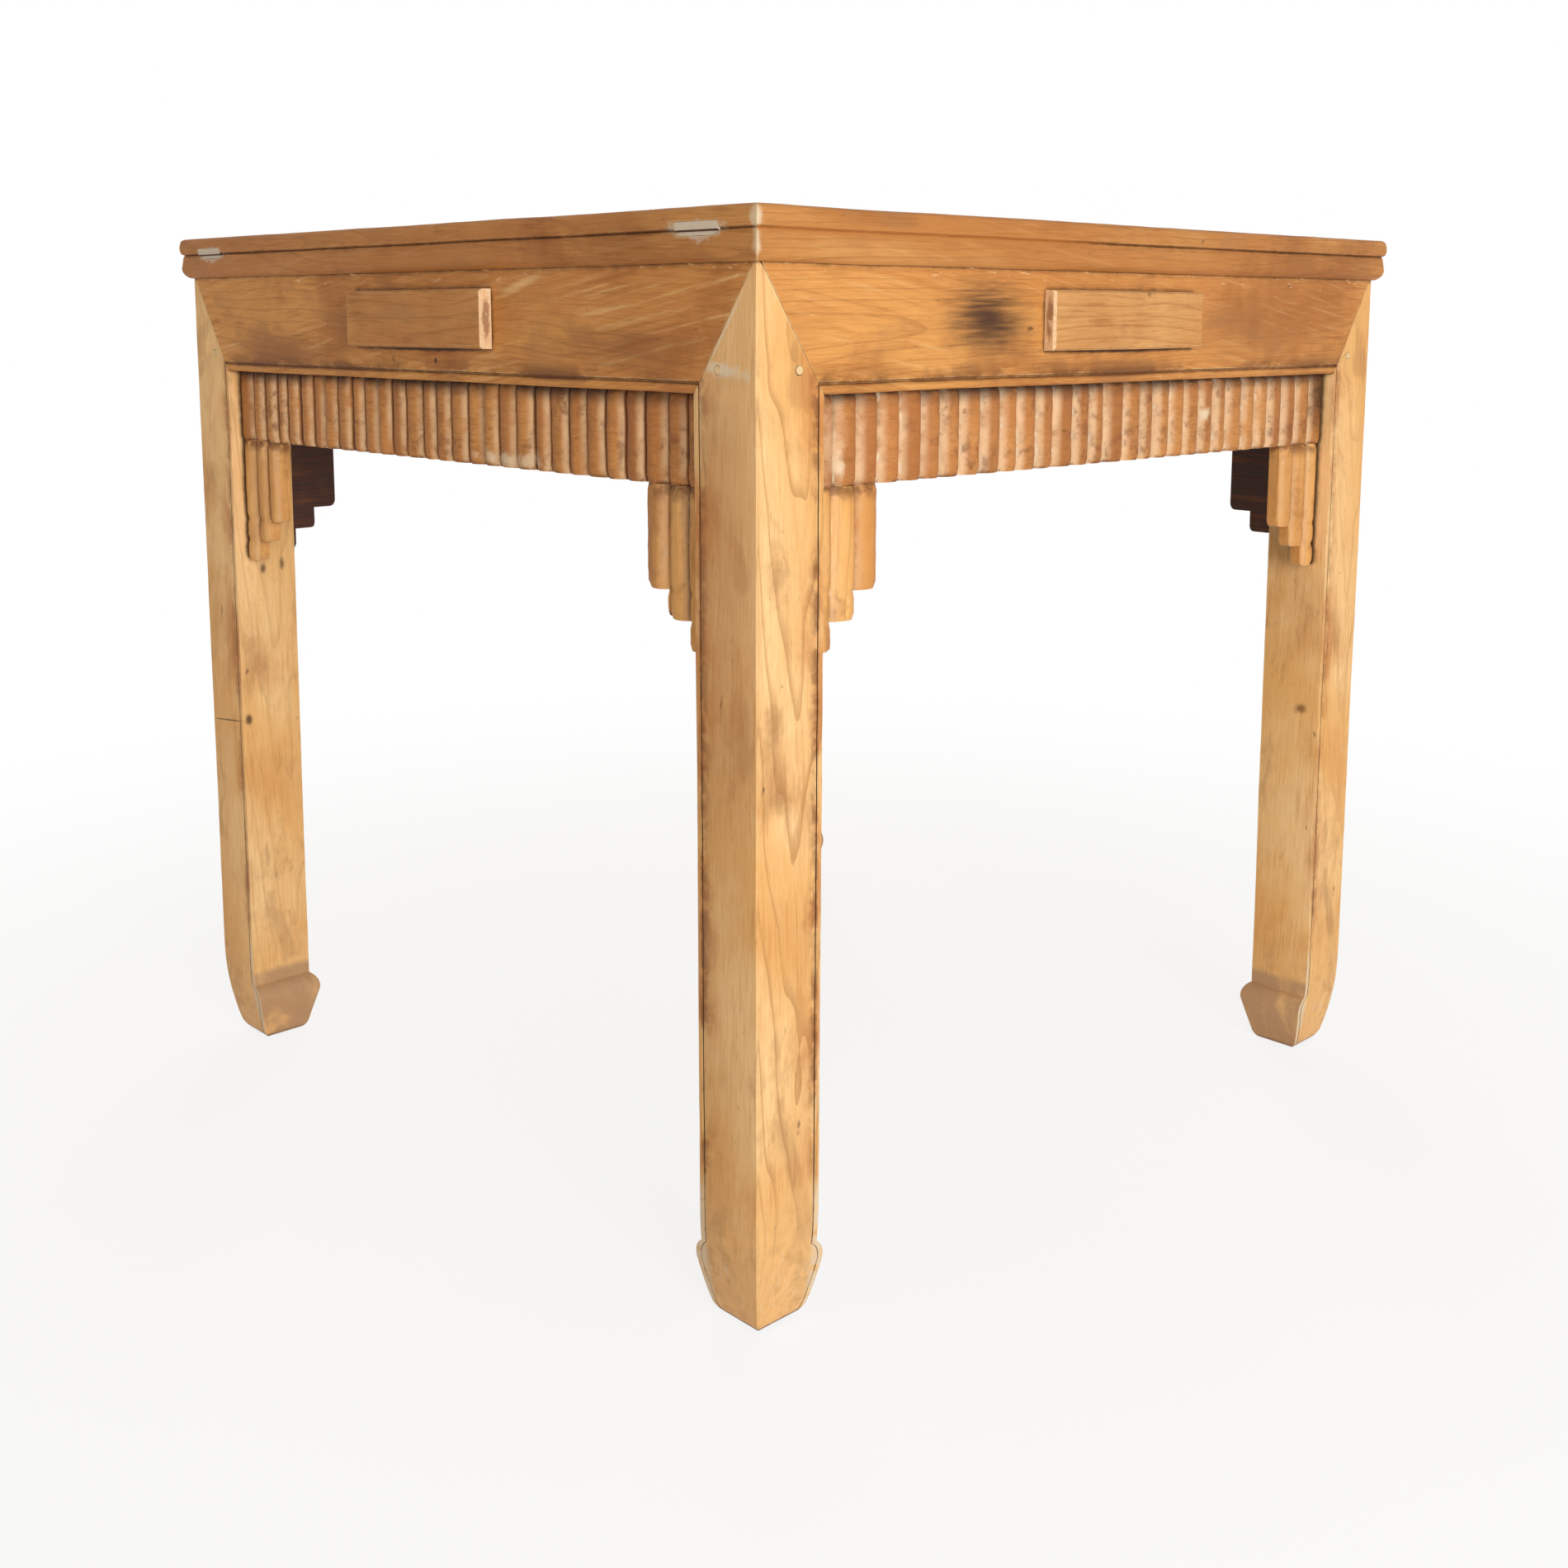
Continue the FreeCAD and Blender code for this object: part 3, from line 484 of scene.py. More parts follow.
def dark_lacquer(name, grain):
    """Undersides and backs: rough sawn wood under an old red-brown lacquer gone dull and dusty."""
    material, tree, shader = started(name)
    place = add(tree, "ShaderNodeTexCoord", "Object", {})
    drawn = drawn_patterns(tree, along_grain(tree, place, grain, (0, 0, 0)), lacquer_patterns)
    colour = layered(tree, linear("#361709"), [
        (linear("#552910"), 1.0, [(drawn["fibres"], 0.35, 0.7)]),
        (linear("#824a1e"), 0.6, [(drawn["figure"], 0.52, 0.68)]),
        (linear("#6b4c30"), 0.35, [(drawn["dust"], 0.5, 0.75)]),
    ])
    surfaced(tree, shader, colour, drawn["fibres"], relief_depth, lacquer_roughness)
    return material


softwood_patterns = {
    "fibres": (0.050, 0.0012, 3.0, 0),
    "years": (0.400, 0.006, 2.0, 0),
    "stains": (0.070, 0.070, 4.0, 0),
}


def bare_softwood(name, grain):
    """Drawer boxes: unfinished pale softwood with straight year lines, dusty, greyed and stained by use."""
    material, tree, shader = started(name)
    place = add(tree, "ShaderNodeTexCoord", "Object", {})
    drawn = drawn_patterns(tree, along_grain(tree, place, grain, (0, 0, 0)), softwood_patterns)
    colour = layered(tree, linear("#c6a272"), [
        (linear("#9c7444"), 0.7, [(drawn["years"], 0.45, 0.7)]),
        (linear("#8a6740"), 0.4, [(drawn["fibres"], 0.35, 0.75)]),
        (linear("#6d5136"), 0.6, [(drawn["stains"], 0.52, 0.75)]),
    ])
    surfaced(tree, shader, colour, drawn["fibres"], relief_depth, softwood_roughness)
    return material


peg_patterns = {"dots": (0.0007, 0.0007, 2.0, 0), "tone": (0.004, 0.004, 3.0, 0)}


def peg_end_grain(name):
    """Peg ends: pale end grain dotted with pores, darker in places where hands have waxed it."""
    material, tree, shader = started(name)
    place = add(tree, "ShaderNodeTexCoord", "Object", {})
    drawn = drawn_patterns(tree, place, peg_patterns)
    colour = layered(tree, linear("#e6c998"), [
        (linear("#a97c46"), 0.5, [(drawn["dots"], 0.5, 0.7)]),
        (linear("#c29660"), 0.5, [(drawn["tone"], 0.5, 0.75)]),
    ])
    surfaced(tree, shader, colour, drawn["dots"], peg_relief_depth, peg_roughness)
    return material


# Meshes
noise.seed_set(wobble_seed)


def uneven(place):
    """How far an old surface has moved at a place."""
    slow = noise.noise_vector(place / wobble_length) * wobble_reach
    return slow + noise.noise_vector(place / ripple_length) * ripple_reach


def turned(direction, degrees):
    """A direction on the front side, turned to another side."""
    return Matrix.Rotation(math.radians(degrees), 3, "Z") @ direction


def finished(bm, name, materials, nodes, body):
    """A piece made of a bmesh: smooth but for its sharp edges, riding on its body in place of its solids."""
    bmesh.ops.recalc_face_normals(bm, faces=bm.faces)
    for face in bm.faces:
        face.smooth = True
    for edge in bm.edges:
        edge.smooth = len(edge.link_faces) == 2 and edge.calc_face_angle() < sharp_angle
    mesh = bpy.data.meshes.new(name)
    bm.to_mesh(mesh)
    bm.free()
    for material in materials:
        mesh.materials.append(material)
    piece = bpy.data.objects.new(name, mesh)
    bpy.context.scene.collection.objects.link(piece)
    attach(piece, body)
    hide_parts(*nodes)


def merged_copy(node):
    """A solid's shape with its facets joined into whole faces."""
    bm = bmesh.new()
    bm.from_mesh(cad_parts[node].data)
    bmesh.ops.remove_doubles(bm, verts=bm.verts, dist=merge_distance)
    bmesh.ops.dissolve_limit(bm, angle_limit=flat_angle, verts=bm.verts, edges=bm.edges)
    bm.normal_update()
    return bm


def cut_across(bm, place, direction):
    """Divides the faces of a shape along a plane."""
    bmesh.ops.bisect_plane(bm, geom=bm.verts[:] + bm.edges[:] + bm.faces[:], dist=merge_distance,
                           plane_co=place, plane_no=direction)


def aged(bm, direction):
    """Slices a long shape, so that it can bend, and moves it by the shared unevenness, above the floor."""
    reaches = [vertex.co.dot(direction) for vertex in bm.verts]
    length = max(reaches) - min(reaches)
    steps = round(length / slice_step)
    for step in range(1, steps):
        cut_across(bm, direction * (min(reaches) + length * step / steps), direction)
    for vertex in bm.verts:
        vertex.co += uneven(vertex.co)
        vertex.co.z = max(0, vertex.co.z)


def bevelled(bm, edges, width, segments):
    """Rounds some edges of a shape."""
    bmesh.ops.bevel(bm, geom=edges, offset=width, segments=segments, profile=0.5, affect="EDGES",
                    material=-1, clamp_overlap=True)


def mitre_edges(bm, outward, length, lowest=0):
    """The slanting edges of a piece's shown face, where it meets its neighbours."""
    edges = []
    for edge in bm.edges:
        first, second = [vertex.co for vertex in edge.verts]
        slant = abs((second - first).normalized().dot(length))
        shown = any(face.normal.dot(outward) > flush_share for face in edge.link_faces)
        if shown and 1 - flush_share < slant < flush_share and min(first.z, second.z) >= lowest:
            edges.append(edge)
    return edges


def faces_given(bm, direction, index, hidden_behind=None):
    """Gives a material of the piece to the faces that look in a direction, or to those of them that
    lie behind a side's shown face."""
    bm.normal_update()
    for face in bm.faces:
        behind = hidden_behind is None or face.calc_center_median().dot(hidden_behind) < leg_face
        if face.normal.dot(direction) > facing_share and behind:
            face.material_index = index


def is_bead_arris(edge, outer, inner):
    """Whether an edge is the inner border of one of the leg's outer faces, where the bead runs."""
    if len(edge.link_faces) != 2 or not edge.is_convex:
        return False
    first, second = [face.normal for face in edge.link_faces]
    if first.dot(outer) < second.dot(outer):
        first, second = second, first
    middle = (edge.verts[0].co + edge.verts[1].co) / 2
    return first.dot(outer) > facing_share and second.dot(inner) > facing_share \
        and middle.dot(outer) > leg_face - reed_crest and middle.z < apron_bottom


def rounded_sole(bm, centre):
    """Draws the lowest part of a foot in towards its middle, so that the sole has no sharp edge."""
    for height in sole_cuts:
        cut_across(bm, up * height, up)
    for vertex in bm.verts:
        if vertex.co.z < sole_round_height:
            rest = 1 - max(0, vertex.co.z) / sole_round_height
            share = 1 - sole_round_inset * (1 - math.sqrt(1 - rest ** 2)) / sole_half_width
            vertex.co.x = centre.x + (vertex.co.x - centre.x) * share
            vertex.co.y = centre.y + (vertex.co.y - centre.y) * share


def make_leg(corner, degrees, materials):
    """A leg with fine lines at its mitres, rounded beads, a rounded sole and a slightly uneven shank."""
    bm = merged_copy(f"leg_{corner}")
    front, side = turned(-into, degrees), turned(-across, degrees)
    mitres = mitre_edges(bm, front, up, apron_bottom) + mitre_edges(bm, side, up, apron_bottom)
    bevelled(bm, mitres, joint_ease, 1)
    bm.normal_update()
    arrises = [e for e in bm.edges if is_bead_arris(e, front, -side) or is_bead_arris(e, side, -front)]
    bevelled(bm, arrises, bead_round, bead_segments)
    rounded_sole(bm, turned(Vector((-sole_middle, -sole_middle, 0)), degrees))
    aged(bm, up)
    finished(bm, f"worn_leg_{corner}", materials, [f"leg_{corner}"], "table")


def make_apron(side, degrees, materials):
    """An apron with a slightly uneven face and bead, dark at the back."""
    bm = merged_copy(f"{side}_apron")
    bevelled(bm, mitre_edges(bm, turned(-into, degrees), turned(across, degrees)), joint_ease, 1)
    aged(bm, turned(across, degrees))
    faces_given(bm, turned(into, degrees), 1)
    finished(bm, f"worn_{side}_apron", materials, [f"{side}_apron"], "table")


def fill_groove(bm, outward, length):
    """Brings the groove across a through tenon's end out to the surface, because putty fills it."""
    for vertex in bm.verts:
        sunk = rail_face - vertex.co.dot(outward)
        level = abs(vertex.co.z - edge_groove_height) < edge_groove_half
        near_tenon = abs(vertex.co.dot(length) - tenon_middle) < tenon_half
        if level and near_tenon and 0 < sunk < 2 * edge_groove_depth:
            vertex.co += outward * (sunk - putty_sunk)


def make_rail(side, degrees, materials):
    """A rail of the top frame, its moulded edge worn uneven, dark inside and underneath, behind the apron."""
    bm = merged_copy(f"top_rail_{side}")
    outward, length = turned(-into, degrees), turned(across, degrees)
    bevelled(bm, mitre_edges(bm, up, length), joint_ease, 1)
    cut_across(bm, outward * leg_face, outward)
    aged(bm, length)
    if side in tenoned_sides:
        fill_groove(bm, length, outward)
        fill_groove(bm, -length, outward)
    faces_given(bm, -up, 1, outward)
    faces_given(bm, -outward, 1)
    finished(bm, f"worn_top_rail_{side}", materials, [f"top_rail_{side}"], "table")


def make_board(name, materials):
    """A board of the top with eased edges, so that its joints show, dark underneath."""
    bm = merged_copy(name)
    edges = [edge for edge in bm.edges if any(face.normal.dot(up) > flush_share for face in edge.link_faces)
             and min(vertex.co.z for vertex in edge.verts) > cad_box[1][2] - joint_ease]
    bevelled(bm, edges, joint_ease, 1)
    aged(bm, across)
    faces_given(bm, -up, 1)
    finished(bm, f"worn_{name}", materials, [name], "table")


def make_drawer_face(side, degrees, materials):
    """A drawer front, slightly uneven, with pale sawn ends."""
    bm = merged_copy(f"{side}_drawer_face")
    aged(bm, turned(across, degrees))
    for direction in (across, -across):
        faces_given(bm, turned(direction, degrees), 1)
    finished(bm, f"worn_{side}_drawer_face", materials, [f"{side}_drawer_face"], f"{side}_drawer")


def carved_reeds(left, bottoms, top, seed, lit_flank_side):
    """A sheet of hand-carved reeds from a left edge, each with its own bottom. It keeps the share of groove,
    of the flank that faces the light (painted highlight on it, painted shade on the other flank) and of dark
    tone at each point."""
    draw = random.Random(seed)
    count = len(bottoms)
    low = min(bottoms)
    stepped = low < max(bottoms)
    columns = count * columns_per_reed
    rows = round((top - low) / row_height)
    borders = [index * reed_pitch + draw.uniform(-1, 1) * reed_width_spread for index in range(count + 1)]
    borders[0], borders[count] = 0, count * reed_pitch
    depths = [reed_depth + draw.uniform(-1, 1) * reed_depth_spread for index in range(count)]
    crests = [reed_crest + draw.uniform(0, 1) * reed_crest_spread for index in range(count)]
    leans = [draw.uniform(-1, 1) * reed_lean_share for index in range(count)]
    shades = [draw.random() for index in range(count)]

    bm = bmesh.new()
    groove, flank, tone = [bm.verts.layers.float.new(key) for key in ("groove", "flank", "tone")]
    bmesh.ops.create_grid(bm, x_segments=columns, y_segments=rows, size=half_unit)
    waste = []
    for face in bm.faces:
        middle = face.calc_center_median()
        reed = int((middle.x + half_unit) * count)
        if low + (middle.y + half_unit) * (top - low) < bottoms[reed]:
            waste.append(face)
    bmesh.ops.delete(bm, geom=waste, context="FACES")

    def border(index, height):
        """Where the groove before a reed stands at a height."""
        if index in (0, count):
            return borders[index]
        return borders[index] + noise.noise(Vector((index, height / reed_waver_length, seed))) * reed_waver

    for vertex in bm.verts:
        column = round((vertex.co.x + half_unit) * columns)
        height = low + (vertex.co.y + half_unit) * (top - low)
        reed = min(column // columns_per_reed, count - 1)
        share = column / columns_per_reed - reed
        swing = 2 * share - 1
        free = stepped and (column == columns or height < bottoms[reed] - row_height / 2)
        end = min(bottoms, key=lambda bottom: abs(bottom - height))
        at_bottom = abs(end - height) < row_height / 2
        at_end = height > top - row_height / 2 or (at_bottom and end >= bottoms[reed])
        hollow = abs(swing + leans[reed] * (1 - swing * swing)) ** reed_fullness
        start, stop = border(reed, height), border(reed + 1, height)
        place = Vector((left + start + (stop - start) * share, 0, height))
        if at_bottom:
            place.z = end
        dent = noise.noise(place / reed_dent_length + up * seed) * reed_dent
        place.y = crests[reed] + depths[reed] * hollow + dent + at_end * reed_end_ease - leg_face
        vertex[groove] = 0 if free else abs(swing)
        vertex[flank] = 0 if free else swing * lit_flank_side
        vertex[tone] = shades[reed]
        vertex.co = place
    if stepped:
        round_steps(bm, left, bottoms)
    return bm


def round_steps(bm, left, bottoms):
    """Rounds the lower free corner of each reed of a stepped sheet."""
    for index, bottom in enumerate(bottoms):
        centre = Vector((left + (index + 1) * reed_pitch - step_round, 0, bottom + step_round))
        for vertex in bm.verts:
            aside, below = vertex.co.x - centre.x, centre.z - vertex.co.z
            reach = math.hypot(aside, below)
            near = 0 < aside < 2 * step_round and 0 < below < step_round + merge_distance
            if near and reach > step_round:
                vertex.co.x = centre.x + aside * step_round / reach
                vertex.co.z = centre.z - below * step_round / reach


def make_reeded(node, bottoms, top, seed, degrees, lit_flank_side, materials):
    """A frieze or spandrel: carved reeds in front, dark behind. A right spandrel mirrors a left one."""
    mirrored = node.endswith("spandrel_right")
    # A mirrored spandrel keeps its painted highlight on the flank that faces the light
    bm = carved_reeds(-leg_inner_face, bottoms, top, seed, -lit_flank_side if mirrored else lit_flank_side)
    slab = bmesh.ops.extrude_face_region(bm, geom=bm.faces[:])
    for made in slab["geom"]:
        if isinstance(made, bmesh.types.BMVert):
            made.co.y = reed_back - leg_face
    if mirrored:
        bmesh.ops.scale(bm, vec=(-1, 1, 1), verts=bm.verts)
    bmesh.ops.recalc_face_normals(bm, faces=bm.faces)
    bmesh.ops.rotate(bm, cent=(0, 0, 0), matrix=Matrix.Rotation(math.radians(degrees), 3, "Z"),
                     verts=bm.verts)
    faces_given(bm, turned(into, degrees), 1)
    finished(bm, f"carved_{node}", materials, [node], "table")


def make_pegs(material):
    """The round peg ends that show on the legs' outer faces, slightly proud."""
    bm = bmesh.new()
    for degrees in turns.values():
        for side in (-1, 1):
            made = bmesh.ops.create_cone(bm, cap_ends=True, segments=peg_sides, radius1=peg_radius,
                                         radius2=peg_taper_share * peg_radius, depth=peg_length)["verts"]
            bmesh.ops.rotate(bm, cent=(0, 0, 0), matrix=Matrix.Rotation(math.pi / 2, 3, "X"), verts=made)
            bmesh.ops.translate(bm, vec=(side * (leg_face - peg_inset), peg_length / 2 - peg_proud - leg_face,
                                         peg_height), verts=made)
            bmesh.ops.rotate(bm, cent=(0, 0, 0), matrix=Matrix.Rotation(math.radians(degrees), 3, "Z"),
                             verts=made)
    finished(bm, "round_leg_pegs", [material], ["leg_pegs"], "table")


# Marks of use and painted shade, each at its place on a piece
drawer_front_depth = 0.011
end_wear_reach = (0.006, 0.0044, 0.022)
band_reach = 0.016
thin_reach = 0.0035


def shadow_under_drawer(side):
    """Painted shadow on an apron along the lower edge of its drawer front, which stands proud of it."""
    low, high = [Vector(corner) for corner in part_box(f"{side}_drawer_face")]
    reach = (high - low) / 2 + Vector((band_reach, band_reach, 0))
    return {"centre": ((low.x + high.x) / 2, (low.y + high.y) / 2, low.z),
            "reach": (reach.x, reach.y, thin_reach), "tint": grime_and_shade, "strength": 0.9, "core": 0.5,
            "fray": "dashes", "fray_share": 0.8}


def end_wear(side, degrees):
    """The brown, rubbed middles of a drawer front's two ends."""
    low, high = [Vector(corner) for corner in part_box(f"{side}_drawer_face")]
    outward, length = turned(-into, degrees), turned(across, degrees)
    middle = outward * (leg_face + drawer_front_depth / 2) + up * (low.z + high.z) / 2
    reach = [abs(part) for part in turned(Vector(end_wear_reach), degrees)]
    half_length = abs((high - low).dot(length)) / 2
    wear = {"reach": reach, "tint": rubbed_end, "strength": 0.85, "core": 0.5, "fray": "stains",
            "fray_share": 1.1}
    return [{"centre": middle + length * half_length * way, **wear} for way in (-1, 1)]


apron_lines = [
    {"tint": brown_dirt, "strength": 0.85, "pattern": "smudges", "spread": (0.40, 0.58),
     "heights": [(bead_top + band_reach, bead_top), (bead_top - thin_reach, bead_top)]},
    {"tint": bare_edge, "strength": 0.6, "pattern": "dashes", "spread": (0.63, 0.70),
     "heights": [(apron_top - band_reach, apron_top - thin_reach)]},
]
frieze_lines = [
    # A darker band at the frieze's top, under the apron's bead: painted shade with grime
    {"tint": grime_and_shade, "strength": 0.9, "pattern": "smudges", "spread": (0.30, 0.52),
     "heights": [(apron_bottom - band_reach, apron_bottom)]},
    {"tint": brown_dirt, "strength": 0.8, "pattern": "ragged", "spread": (0.42, 0.58),
     "heights": [(frieze_bottom + thin_reach, frieze_bottom)]},
]
spandrel_lines = [
    {"tint": brown_dirt, "strength": 0.85, "pattern": "ragged", "spread": (0.36, 0.56),
     "heights": [(frieze_bottom - band_reach, frieze_bottom)]},
]
apron_marks = {
    "front": [
        {"centre": (-0.180, -leg_face, 0.785), "reach": (0.074, 0.03, 0.044), "tint": soot, "strength": 0.95,
         "core": 0.0, "fray": "streaks", "fray_share": 1.0},
        {"centre": (0.195, -leg_face, 0.780), "reach": (0.110, 0.03, 0.048), "tint": blotch, "strength": 0.35,
         "core": 0.0, "fray": "streaks", "fray_share": 1.2},
    ],
    "left": [
        {"centre": (-leg_face, -0.022, 0.748), "reach": (0.01, 0.0028, 0.0028), "tint": grime_and_shade,
         "strength": 0.9, "core": 0.6, "fray": "ragged", "fray_share": 0.2},
        {"centre": (-leg_face, -0.150, 0.812), "reach": (0.03, 0.045, 0.006), "tint": scratch,
         "strength": 0.7, "core": 0.1, "fray": "streaks", "fray_share": 0.8,
         "turn": (math.radians(-15), 0, 0)},
        {"centre": (-leg_face, -0.290, 0.762), "reach": (0.03, 0.120, 0.028), "tint": blotch, "strength": 0.6,
         "core": 0.0, "fray": "streaks", "fray_share": 1.6},
        {"centre": (-leg_face, 0.250, 0.752), "reach": (0.03, 0.140, 0.026), "tint": blotch, "strength": 0.6,
         "core": 0.0, "fray": "streaks", "fray_share": 1.6},
    ],
}
corner_wear = {"centre": (-rail_face, -rail_face, 0.845), "reach": (0.009, 0.009, 0.034), "tint": lime,
               "strength": 0.85, "core": 0.3, "fray": "ragged", "fray_share": 0.9}
tenon_putty = {"reach": (0.006, 0.034, 0.012), "tint": filler, "strength": 0.95, "core": 0.7,
               "fray": "ragged", "fray_share": 0.5}
smeared_putty = {"reach": (0.01, 0.036, 0.009), "tint": filler, "strength": 0.7, "core": 0.4,
                 "fray": "ragged", "fray_share": 1.6}
shallow_groove = {"centre": (-0.26, -rail_face, edge_groove_height), "reach": (0.26, 0.02, 0.005),
                  "tint": rail_tones["base"], "strength": 0.8, "core": 0.6, "fray": "dashes",
                  "fray_share": 0.6}
rail_marks = {
    "front": [{"centre": (x, -tenon_middle, 0.849), **tenon_putty} for x in (-rail_face, rail_face)]
             + [corner_wear, shallow_groove],
    "back": [{"centre": (x, tenon_middle, 0.849), **tenon_putty} for x in (-rail_face, rail_face)],
    "left": [{"centre": (-rail_face, y, 0.848), **smeared_putty} for y in (-tenon_middle, tenon_middle)]
            + [corner_wear],
}
dull_smear = {"tint": dull, "strength": 0.6, "core": 0.0, "fray": "ragged", "fray_share": 1.5}
knot = {"tint": soot, "fray": "ragged", "fray_share": 0.8}
leg_marks = {
    "front_left": [
        {"centre": (-0.414, -leg_face, 0.600), "reach": (0.016, 0.01, 0.032), **dull_smear},
        {"centre": (-0.417, -leg_face, 0.490), "reach": (0.015, 0.01, 0.024), **dull_smear},
        {"centre": (-0.408, -leg_face, 0.430), "reach": (0.024, 0.01, 0.013), **dull_smear},
        # Painted warm shade over most of the near leg's left face
        {"centre": (-leg_face, -0.405, 0.600), "reach": (0.012, 0.060, 0.320), "tint": warm_painted_shade,
         "strength": 0.45, "core": 0.0, "fray": "smudges", "fray_share": 0.6},
        {"centre": (-leg_face, -0.400, 0.748), "reach": (0.01, 0.031, 0.0072), "tint": lime, "strength": 0.95,
         "core": 0.35, "fray": "ragged", "fray_share": 1.5, "turn": (math.radians(8), 0, 0)},
        {"centre": (-leg_face, -0.402, 0.778), "reach": (0.01, 0.0014, 0.045), "tint": lime, "strength": 0.8,
         "core": 0.5, "fray": "ragged", "fray_share": 0.9, "turn": (math.radians(35), 0, 0)},
    ],
    "front_right": [
        {"centre": (leg_inner_face, -0.413, 0.378), "reach": (0.01, 0.011, 0.008), "tint": brown_dirt,
         "strength": 0.75, "core": 0.1, "fray": "ragged", "fray_share": 1.2},
    ],
    "back_left": [
        {"centre": (-leg_face, 0.401, 0.356), "reach": (0.01, 0.040, 0.0011), "tint": grime_and_shade, "strength": 0.85,
         "core": 0.4, "fray": "ragged", "fray_share": 0.6, "turn": (math.radians(-6), 0, 0)},
        {"centre": (-0.428, leg_inner_face, 0.361), "reach": (0.006, 0.01, 0.008), "strength": 0.85,
         "core": 0.2, **knot},
        {"centre": (-0.405, leg_inner_face, 0.522), "reach": (0.005, 0.01, 0.008), "strength": 0.8,
         "core": 0.1, **knot},
        {"centre": (-0.383, leg_inner_face, 0.524), "reach": (0.004, 0.01, 0.009), "strength": 0.7,
         "core": 0.1, **knot},
    ],
}
frieze_marks = {
    "front": [
        {"centre": (-0.350, -leg_face, 0.690), "reach": (0.024, 0.03, 0.050), "tint": flank_highlight_and_wear,
         "strength": 0.6, "core": 0.2, "fray": "ragged", "fray_share": 1.2},
        {"centre": (-0.340, -leg_face, 0.675), "reach": (0.010, 0.03, 0.015), "tint": lime, "strength": 0.9,
         "core": 0.2, "fray": "ragged", "fray_share": 1.6},
        {"centre": (0.150, -leg_face, 0.696), "reach": (0.014, 0.03, 0.008), "tint": lime, "strength": 0.9,
         "core": 0.2, "fray": "ragged", "fray_share": 1.6},
        {"centre": (0.362, -leg_face, 0.705), "reach": (0.034, 0.03, 0.050), "tint": grime_and_shade, "strength": 0.9,
         "core": 0.2, "fray": "ragged", "fray_share": 1.2},
    ],
    "left": [
        {"centre": (-leg_face, -0.112, 0.666), "reach": (0.03, 0.075, 0.010), "tint": lime, "strength": 0.8,
         "core": 0.1, "fray": "ragged", "fray_share": 1.8},
    ],
}

# Pieces and their materials
lacquer = {grain: dark_lacquer(f"dark_lacquer_along_{grain}", grain) for grain in ("x", "y")}
softwood = {grain: bare_softwood(f"bare_softwood_along_{grain}", grain) for grain in ("x", "y")}
# Which flank of each side's reeds faces the light and is painted pale; the other flank gets painted shade
lit_flank_sides = {"front": -1, "right": -1, "back": -1, "left": 1}
leg_woods = {"front_left": leg_tones}
apron_woods = {"left": shaded_apron_tones}
drawer_woods = {"front": drawer_tones, "right": drawer_tones, "back": rail_tones, "left": rail_tones}
frieze_seed = 11
spandrel_seeds = {"left": 31, "right": 47}

for corner, degrees in leg_turns.items():
    node = f"leg_{corner}"
    tones = leg_woods.get(corner, far_leg_tones)
    wood = old_elm(f"elm_{node}", node, "z", tones, marks=leg_marks.get(corner, ()), leg=True)
    make_leg(corner, degrees, [wood])

for index, (side, degrees) in enumerate(turns.items()):
    grain = side_grain[side]
    dark = lacquer[grain]
    node = f"{side}_apron"
    # Each apron also gets a painted shadow under its drawer front
    marks = apron_marks.get(side, []) + [shadow_under_drawer(side)]
    wood = old_elm(f"elm_{node}", node, grain, apron_woods.get(side, apron_tones), apron_lines, marks)
    make_apron(side, degrees, [wood, dark])
    node = f"top_rail_{side}"
    wood = old_elm(f"elm_{node}", node, grain, rail_tones, marks=rail_marks.get(side, ()))
    make_rail(side, degrees, [wood, dark])
    node = f"{side}_drawer_face"
    sawn_ends = elm_end_grain(f"end_grain_{node}", grain, end_wear(side, degrees))
    make_drawer_face(side, degrees, [old_elm(f"elm_{node}", node, grain, drawer_woods[side]), sawn_ends])
    node = f"{side}_frieze"
    marks = frieze_marks.get(side, ())
    wood = old_elm(f"carved_elm_{node}", node, grain, frieze_tones, frieze_lines, marks, carved=True)
    make_reeded(node, [frieze_bottom] * reed_count, apron_bottom, frieze_seed + index, degrees,
                lit_flank_sides[side], [wood, dark])
    for end, seed in spandrel_seeds.items():
        node = f"{side}_spandrel_{end}"
        wood = old_elm(f"carved_elm_{node}", node, "z", spandrel_tones, spandrel_lines, carved=True)
        make_reeded(node, spandrel_bottoms, frieze_bottom, seed + index, degrees, lit_flank_sides[side],
                    [wood, dark])

make_pegs(peg_end_grain("peg_end_grain"))

for name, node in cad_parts.items():
    lengthwise, inwards = ("y", "x") if name.startswith(("left", "right")) else ("x", "y")
    if name.startswith("top_board"):
        make_board(name, [old_elm(f"elm_{name}", name, "x", rail_tones), lacquer["x"]])
        continue
    if name.startswith("top_batten") or "bearer" in name:
        wood = lacquer[inwards]
    elif "drawer_side" in name:
        wood = softwood[inwards]
    elif name.endswith(("drawer_back", "drawer_bottom")):
        wood = softwood[lengthwise]
    else:
        continue
    node.data.materials.clear()
    node.data.materials.append(wood)

# Floor, backdrop, light and view
floor_size = 30.0
floor_tone = linear("#f2f0ec")
floor_roughness = 0.9
floor_white_shares = (0.84, 1.0)
floor_fade = (0.5, 1.9)
sky_strength = 0.38
sky_tint = linear("#fff1e2")
lamp_aim = Vector((0, 0, 0.5))
key_place, key_size, key_power = (-1.6, -3.9, 1.25), 2.0, 112
fill_place, fill_size, fill_power = (4.0, 4.5, 2.4), 3.0, 130
view_place = (-1.29716, -1.36350, 0.78668)
view_angles = (43.76, -8.36, 0.11)
view_lens = 40.805
view_sensor = 36.0
view_shift = -0.1316


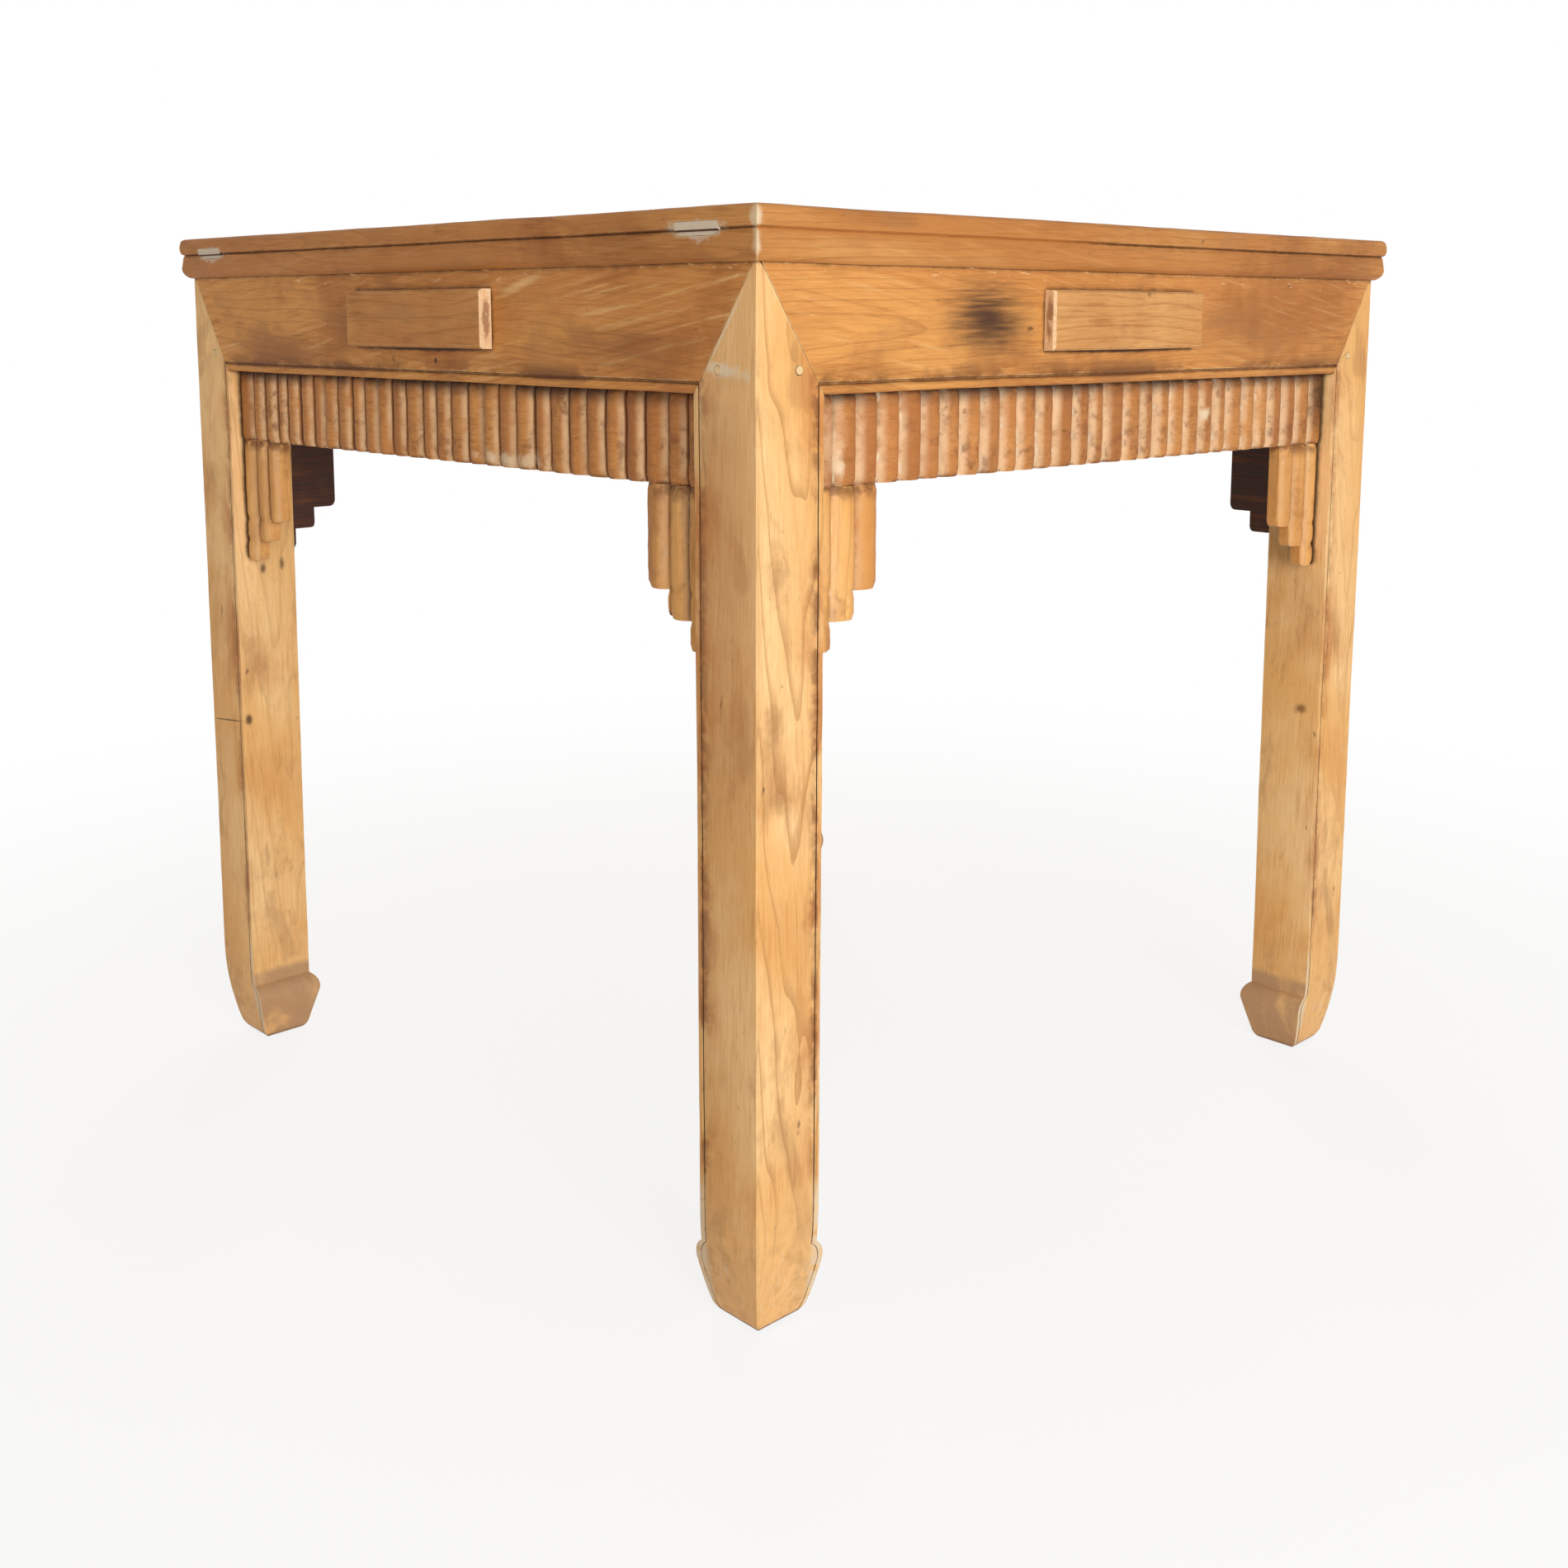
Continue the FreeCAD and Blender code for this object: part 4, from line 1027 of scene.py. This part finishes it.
def seen_directly(tree):
    """Whether a ray comes from the camera, straight or by way of a gloss or a clear piece."""
    rays = add(tree, "ShaderNodeLightPath", "Is Camera Ray", {})
    for other in ("Is Glossy Ray", "Is Transmission Ray"):
        more = add(tree, "ShaderNodeLightPath", other, {})
        rays = add(tree, "ShaderNodeMath", "Value", {"Value": rays, "Value_001": more}, operation="MAXIMUM")
    return rays


def make_floor():
    """A pale floor that looks white and keeps the table's soft shadow, and is clear from below."""
    bm = bmesh.new()
    bmesh.ops.create_grid(bm, x_segments=1, y_segments=1, size=floor_size)
    mesh = bpy.data.meshes.new("floor")
    bm.to_mesh(mesh)
    bm.free()
    material, tree, matte = started("pale_floor")
    matte.inputs["Base Color"].default_value = floor_tone
    matte.inputs["Roughness"].default_value = floor_roughness
    place = add(tree, "ShaderNodeTexCoord", "Object", {})
    away = add(tree, "ShaderNodeVectorMath", "Value", {"Vector": place}, operation="LENGTH")
    whiter = add(tree, "ShaderNodeMapRange", "Result",
                 {"Value": away, "From Min": floor_fade[0], "From Max": floor_fade[1],
                  "To Min": floor_white_shares[0], "To Max": floor_white_shares[1]},
                 interpolation_type="SMOOTHSTEP")
    share = add(tree, "ShaderNodeMath", "Value", {"Value": seen_directly(tree), "Value_001": whiter},
                operation="MULTIPLY")
    white = add(tree, "ShaderNodeEmission", "Emission", {"Strength": 1.0})
    pale = add(tree, "ShaderNodeMixShader", "Shader",
               {"Fac": share, "Shader": matte.outputs[0], "Shader_001": white})
    from_below = add(tree, "ShaderNodeNewGeometry", "Backfacing", {})
    clear = add(tree, "ShaderNodeBsdfTransparent", "BSDF", {})
    surface = add(tree, "ShaderNodeMixShader", "Shader",
                  {"Fac": from_below, "Shader": pale, "Shader_001": clear})
    tree.links.new(surface, tree.nodes["Material Output"].inputs["Surface"])
    mesh.materials.append(material)
    floor = bpy.data.objects.new("floor", mesh)
    bpy.context.scene.collection.objects.link(floor)


def make_world():
    """A white backdrop to the eye, and a soft, even, slightly warm sky for the wood."""
    world = bpy.data.worlds.new("studio")
    bpy.context.scene.world = world
    world.use_nodes = True
    tree = world.node_tree
    strength = add(tree, "ShaderNodeMapRange", "Result",
                   {"Value": seen_directly(tree), "To Min": sky_strength, "To Max": 1.0})
    tint = add(tree, "ShaderNodeMix", "Result_Color",
               {"Factor_Float": seen_directly(tree), "A_Color": sky_tint, "B_Color": linear("#ffffff")},
               data_type="RGBA")
    tree.links.new(tint, tree.nodes["Background"].inputs["Color"])
    tree.links.new(strength, tree.nodes["Background"].inputs["Strength"])


def make_lamp(name, place, size, power):
    """A square soft box that faces the table."""
    lamp = bpy.data.lights.new(name, "AREA")
    lamp.size = size
    lamp.energy = power
    holder = bpy.data.objects.new(name, lamp)
    holder.location = place
    holder.rotation_euler = (lamp_aim - Vector(place)).to_track_quat("-Z", "Y").to_euler()
    bpy.context.scene.collection.objects.link(holder)


def make_camera():
    """The photograph's view: a little below the tabletop, towards the near corner."""
    camera = bpy.data.cameras.new("view")
    camera.sensor_width = view_sensor
    camera.lens = view_lens
    camera.shift_y = view_shift
    holder = bpy.data.objects.new("view", camera)
    yaw, pitch, roll = [math.radians(angle) for angle in view_angles]
    holder.matrix_world = Matrix.Translation(view_place) @ Matrix.Rotation(-yaw, 4, "Z") \
        @ Matrix.Rotation(math.pi / 2 + pitch, 4, "X") @ Matrix.Rotation(roll, 4, "Z")
    bpy.context.scene.collection.objects.link(holder)
    bpy.context.scene.camera = holder


make_floor()
make_world()
make_lamp("key_light", key_place, key_size, key_power)
make_lamp("fill_light", fill_place, fill_size, fill_power)
make_camera()
bpy.context.scene.view_settings.view_transform = "Standard"
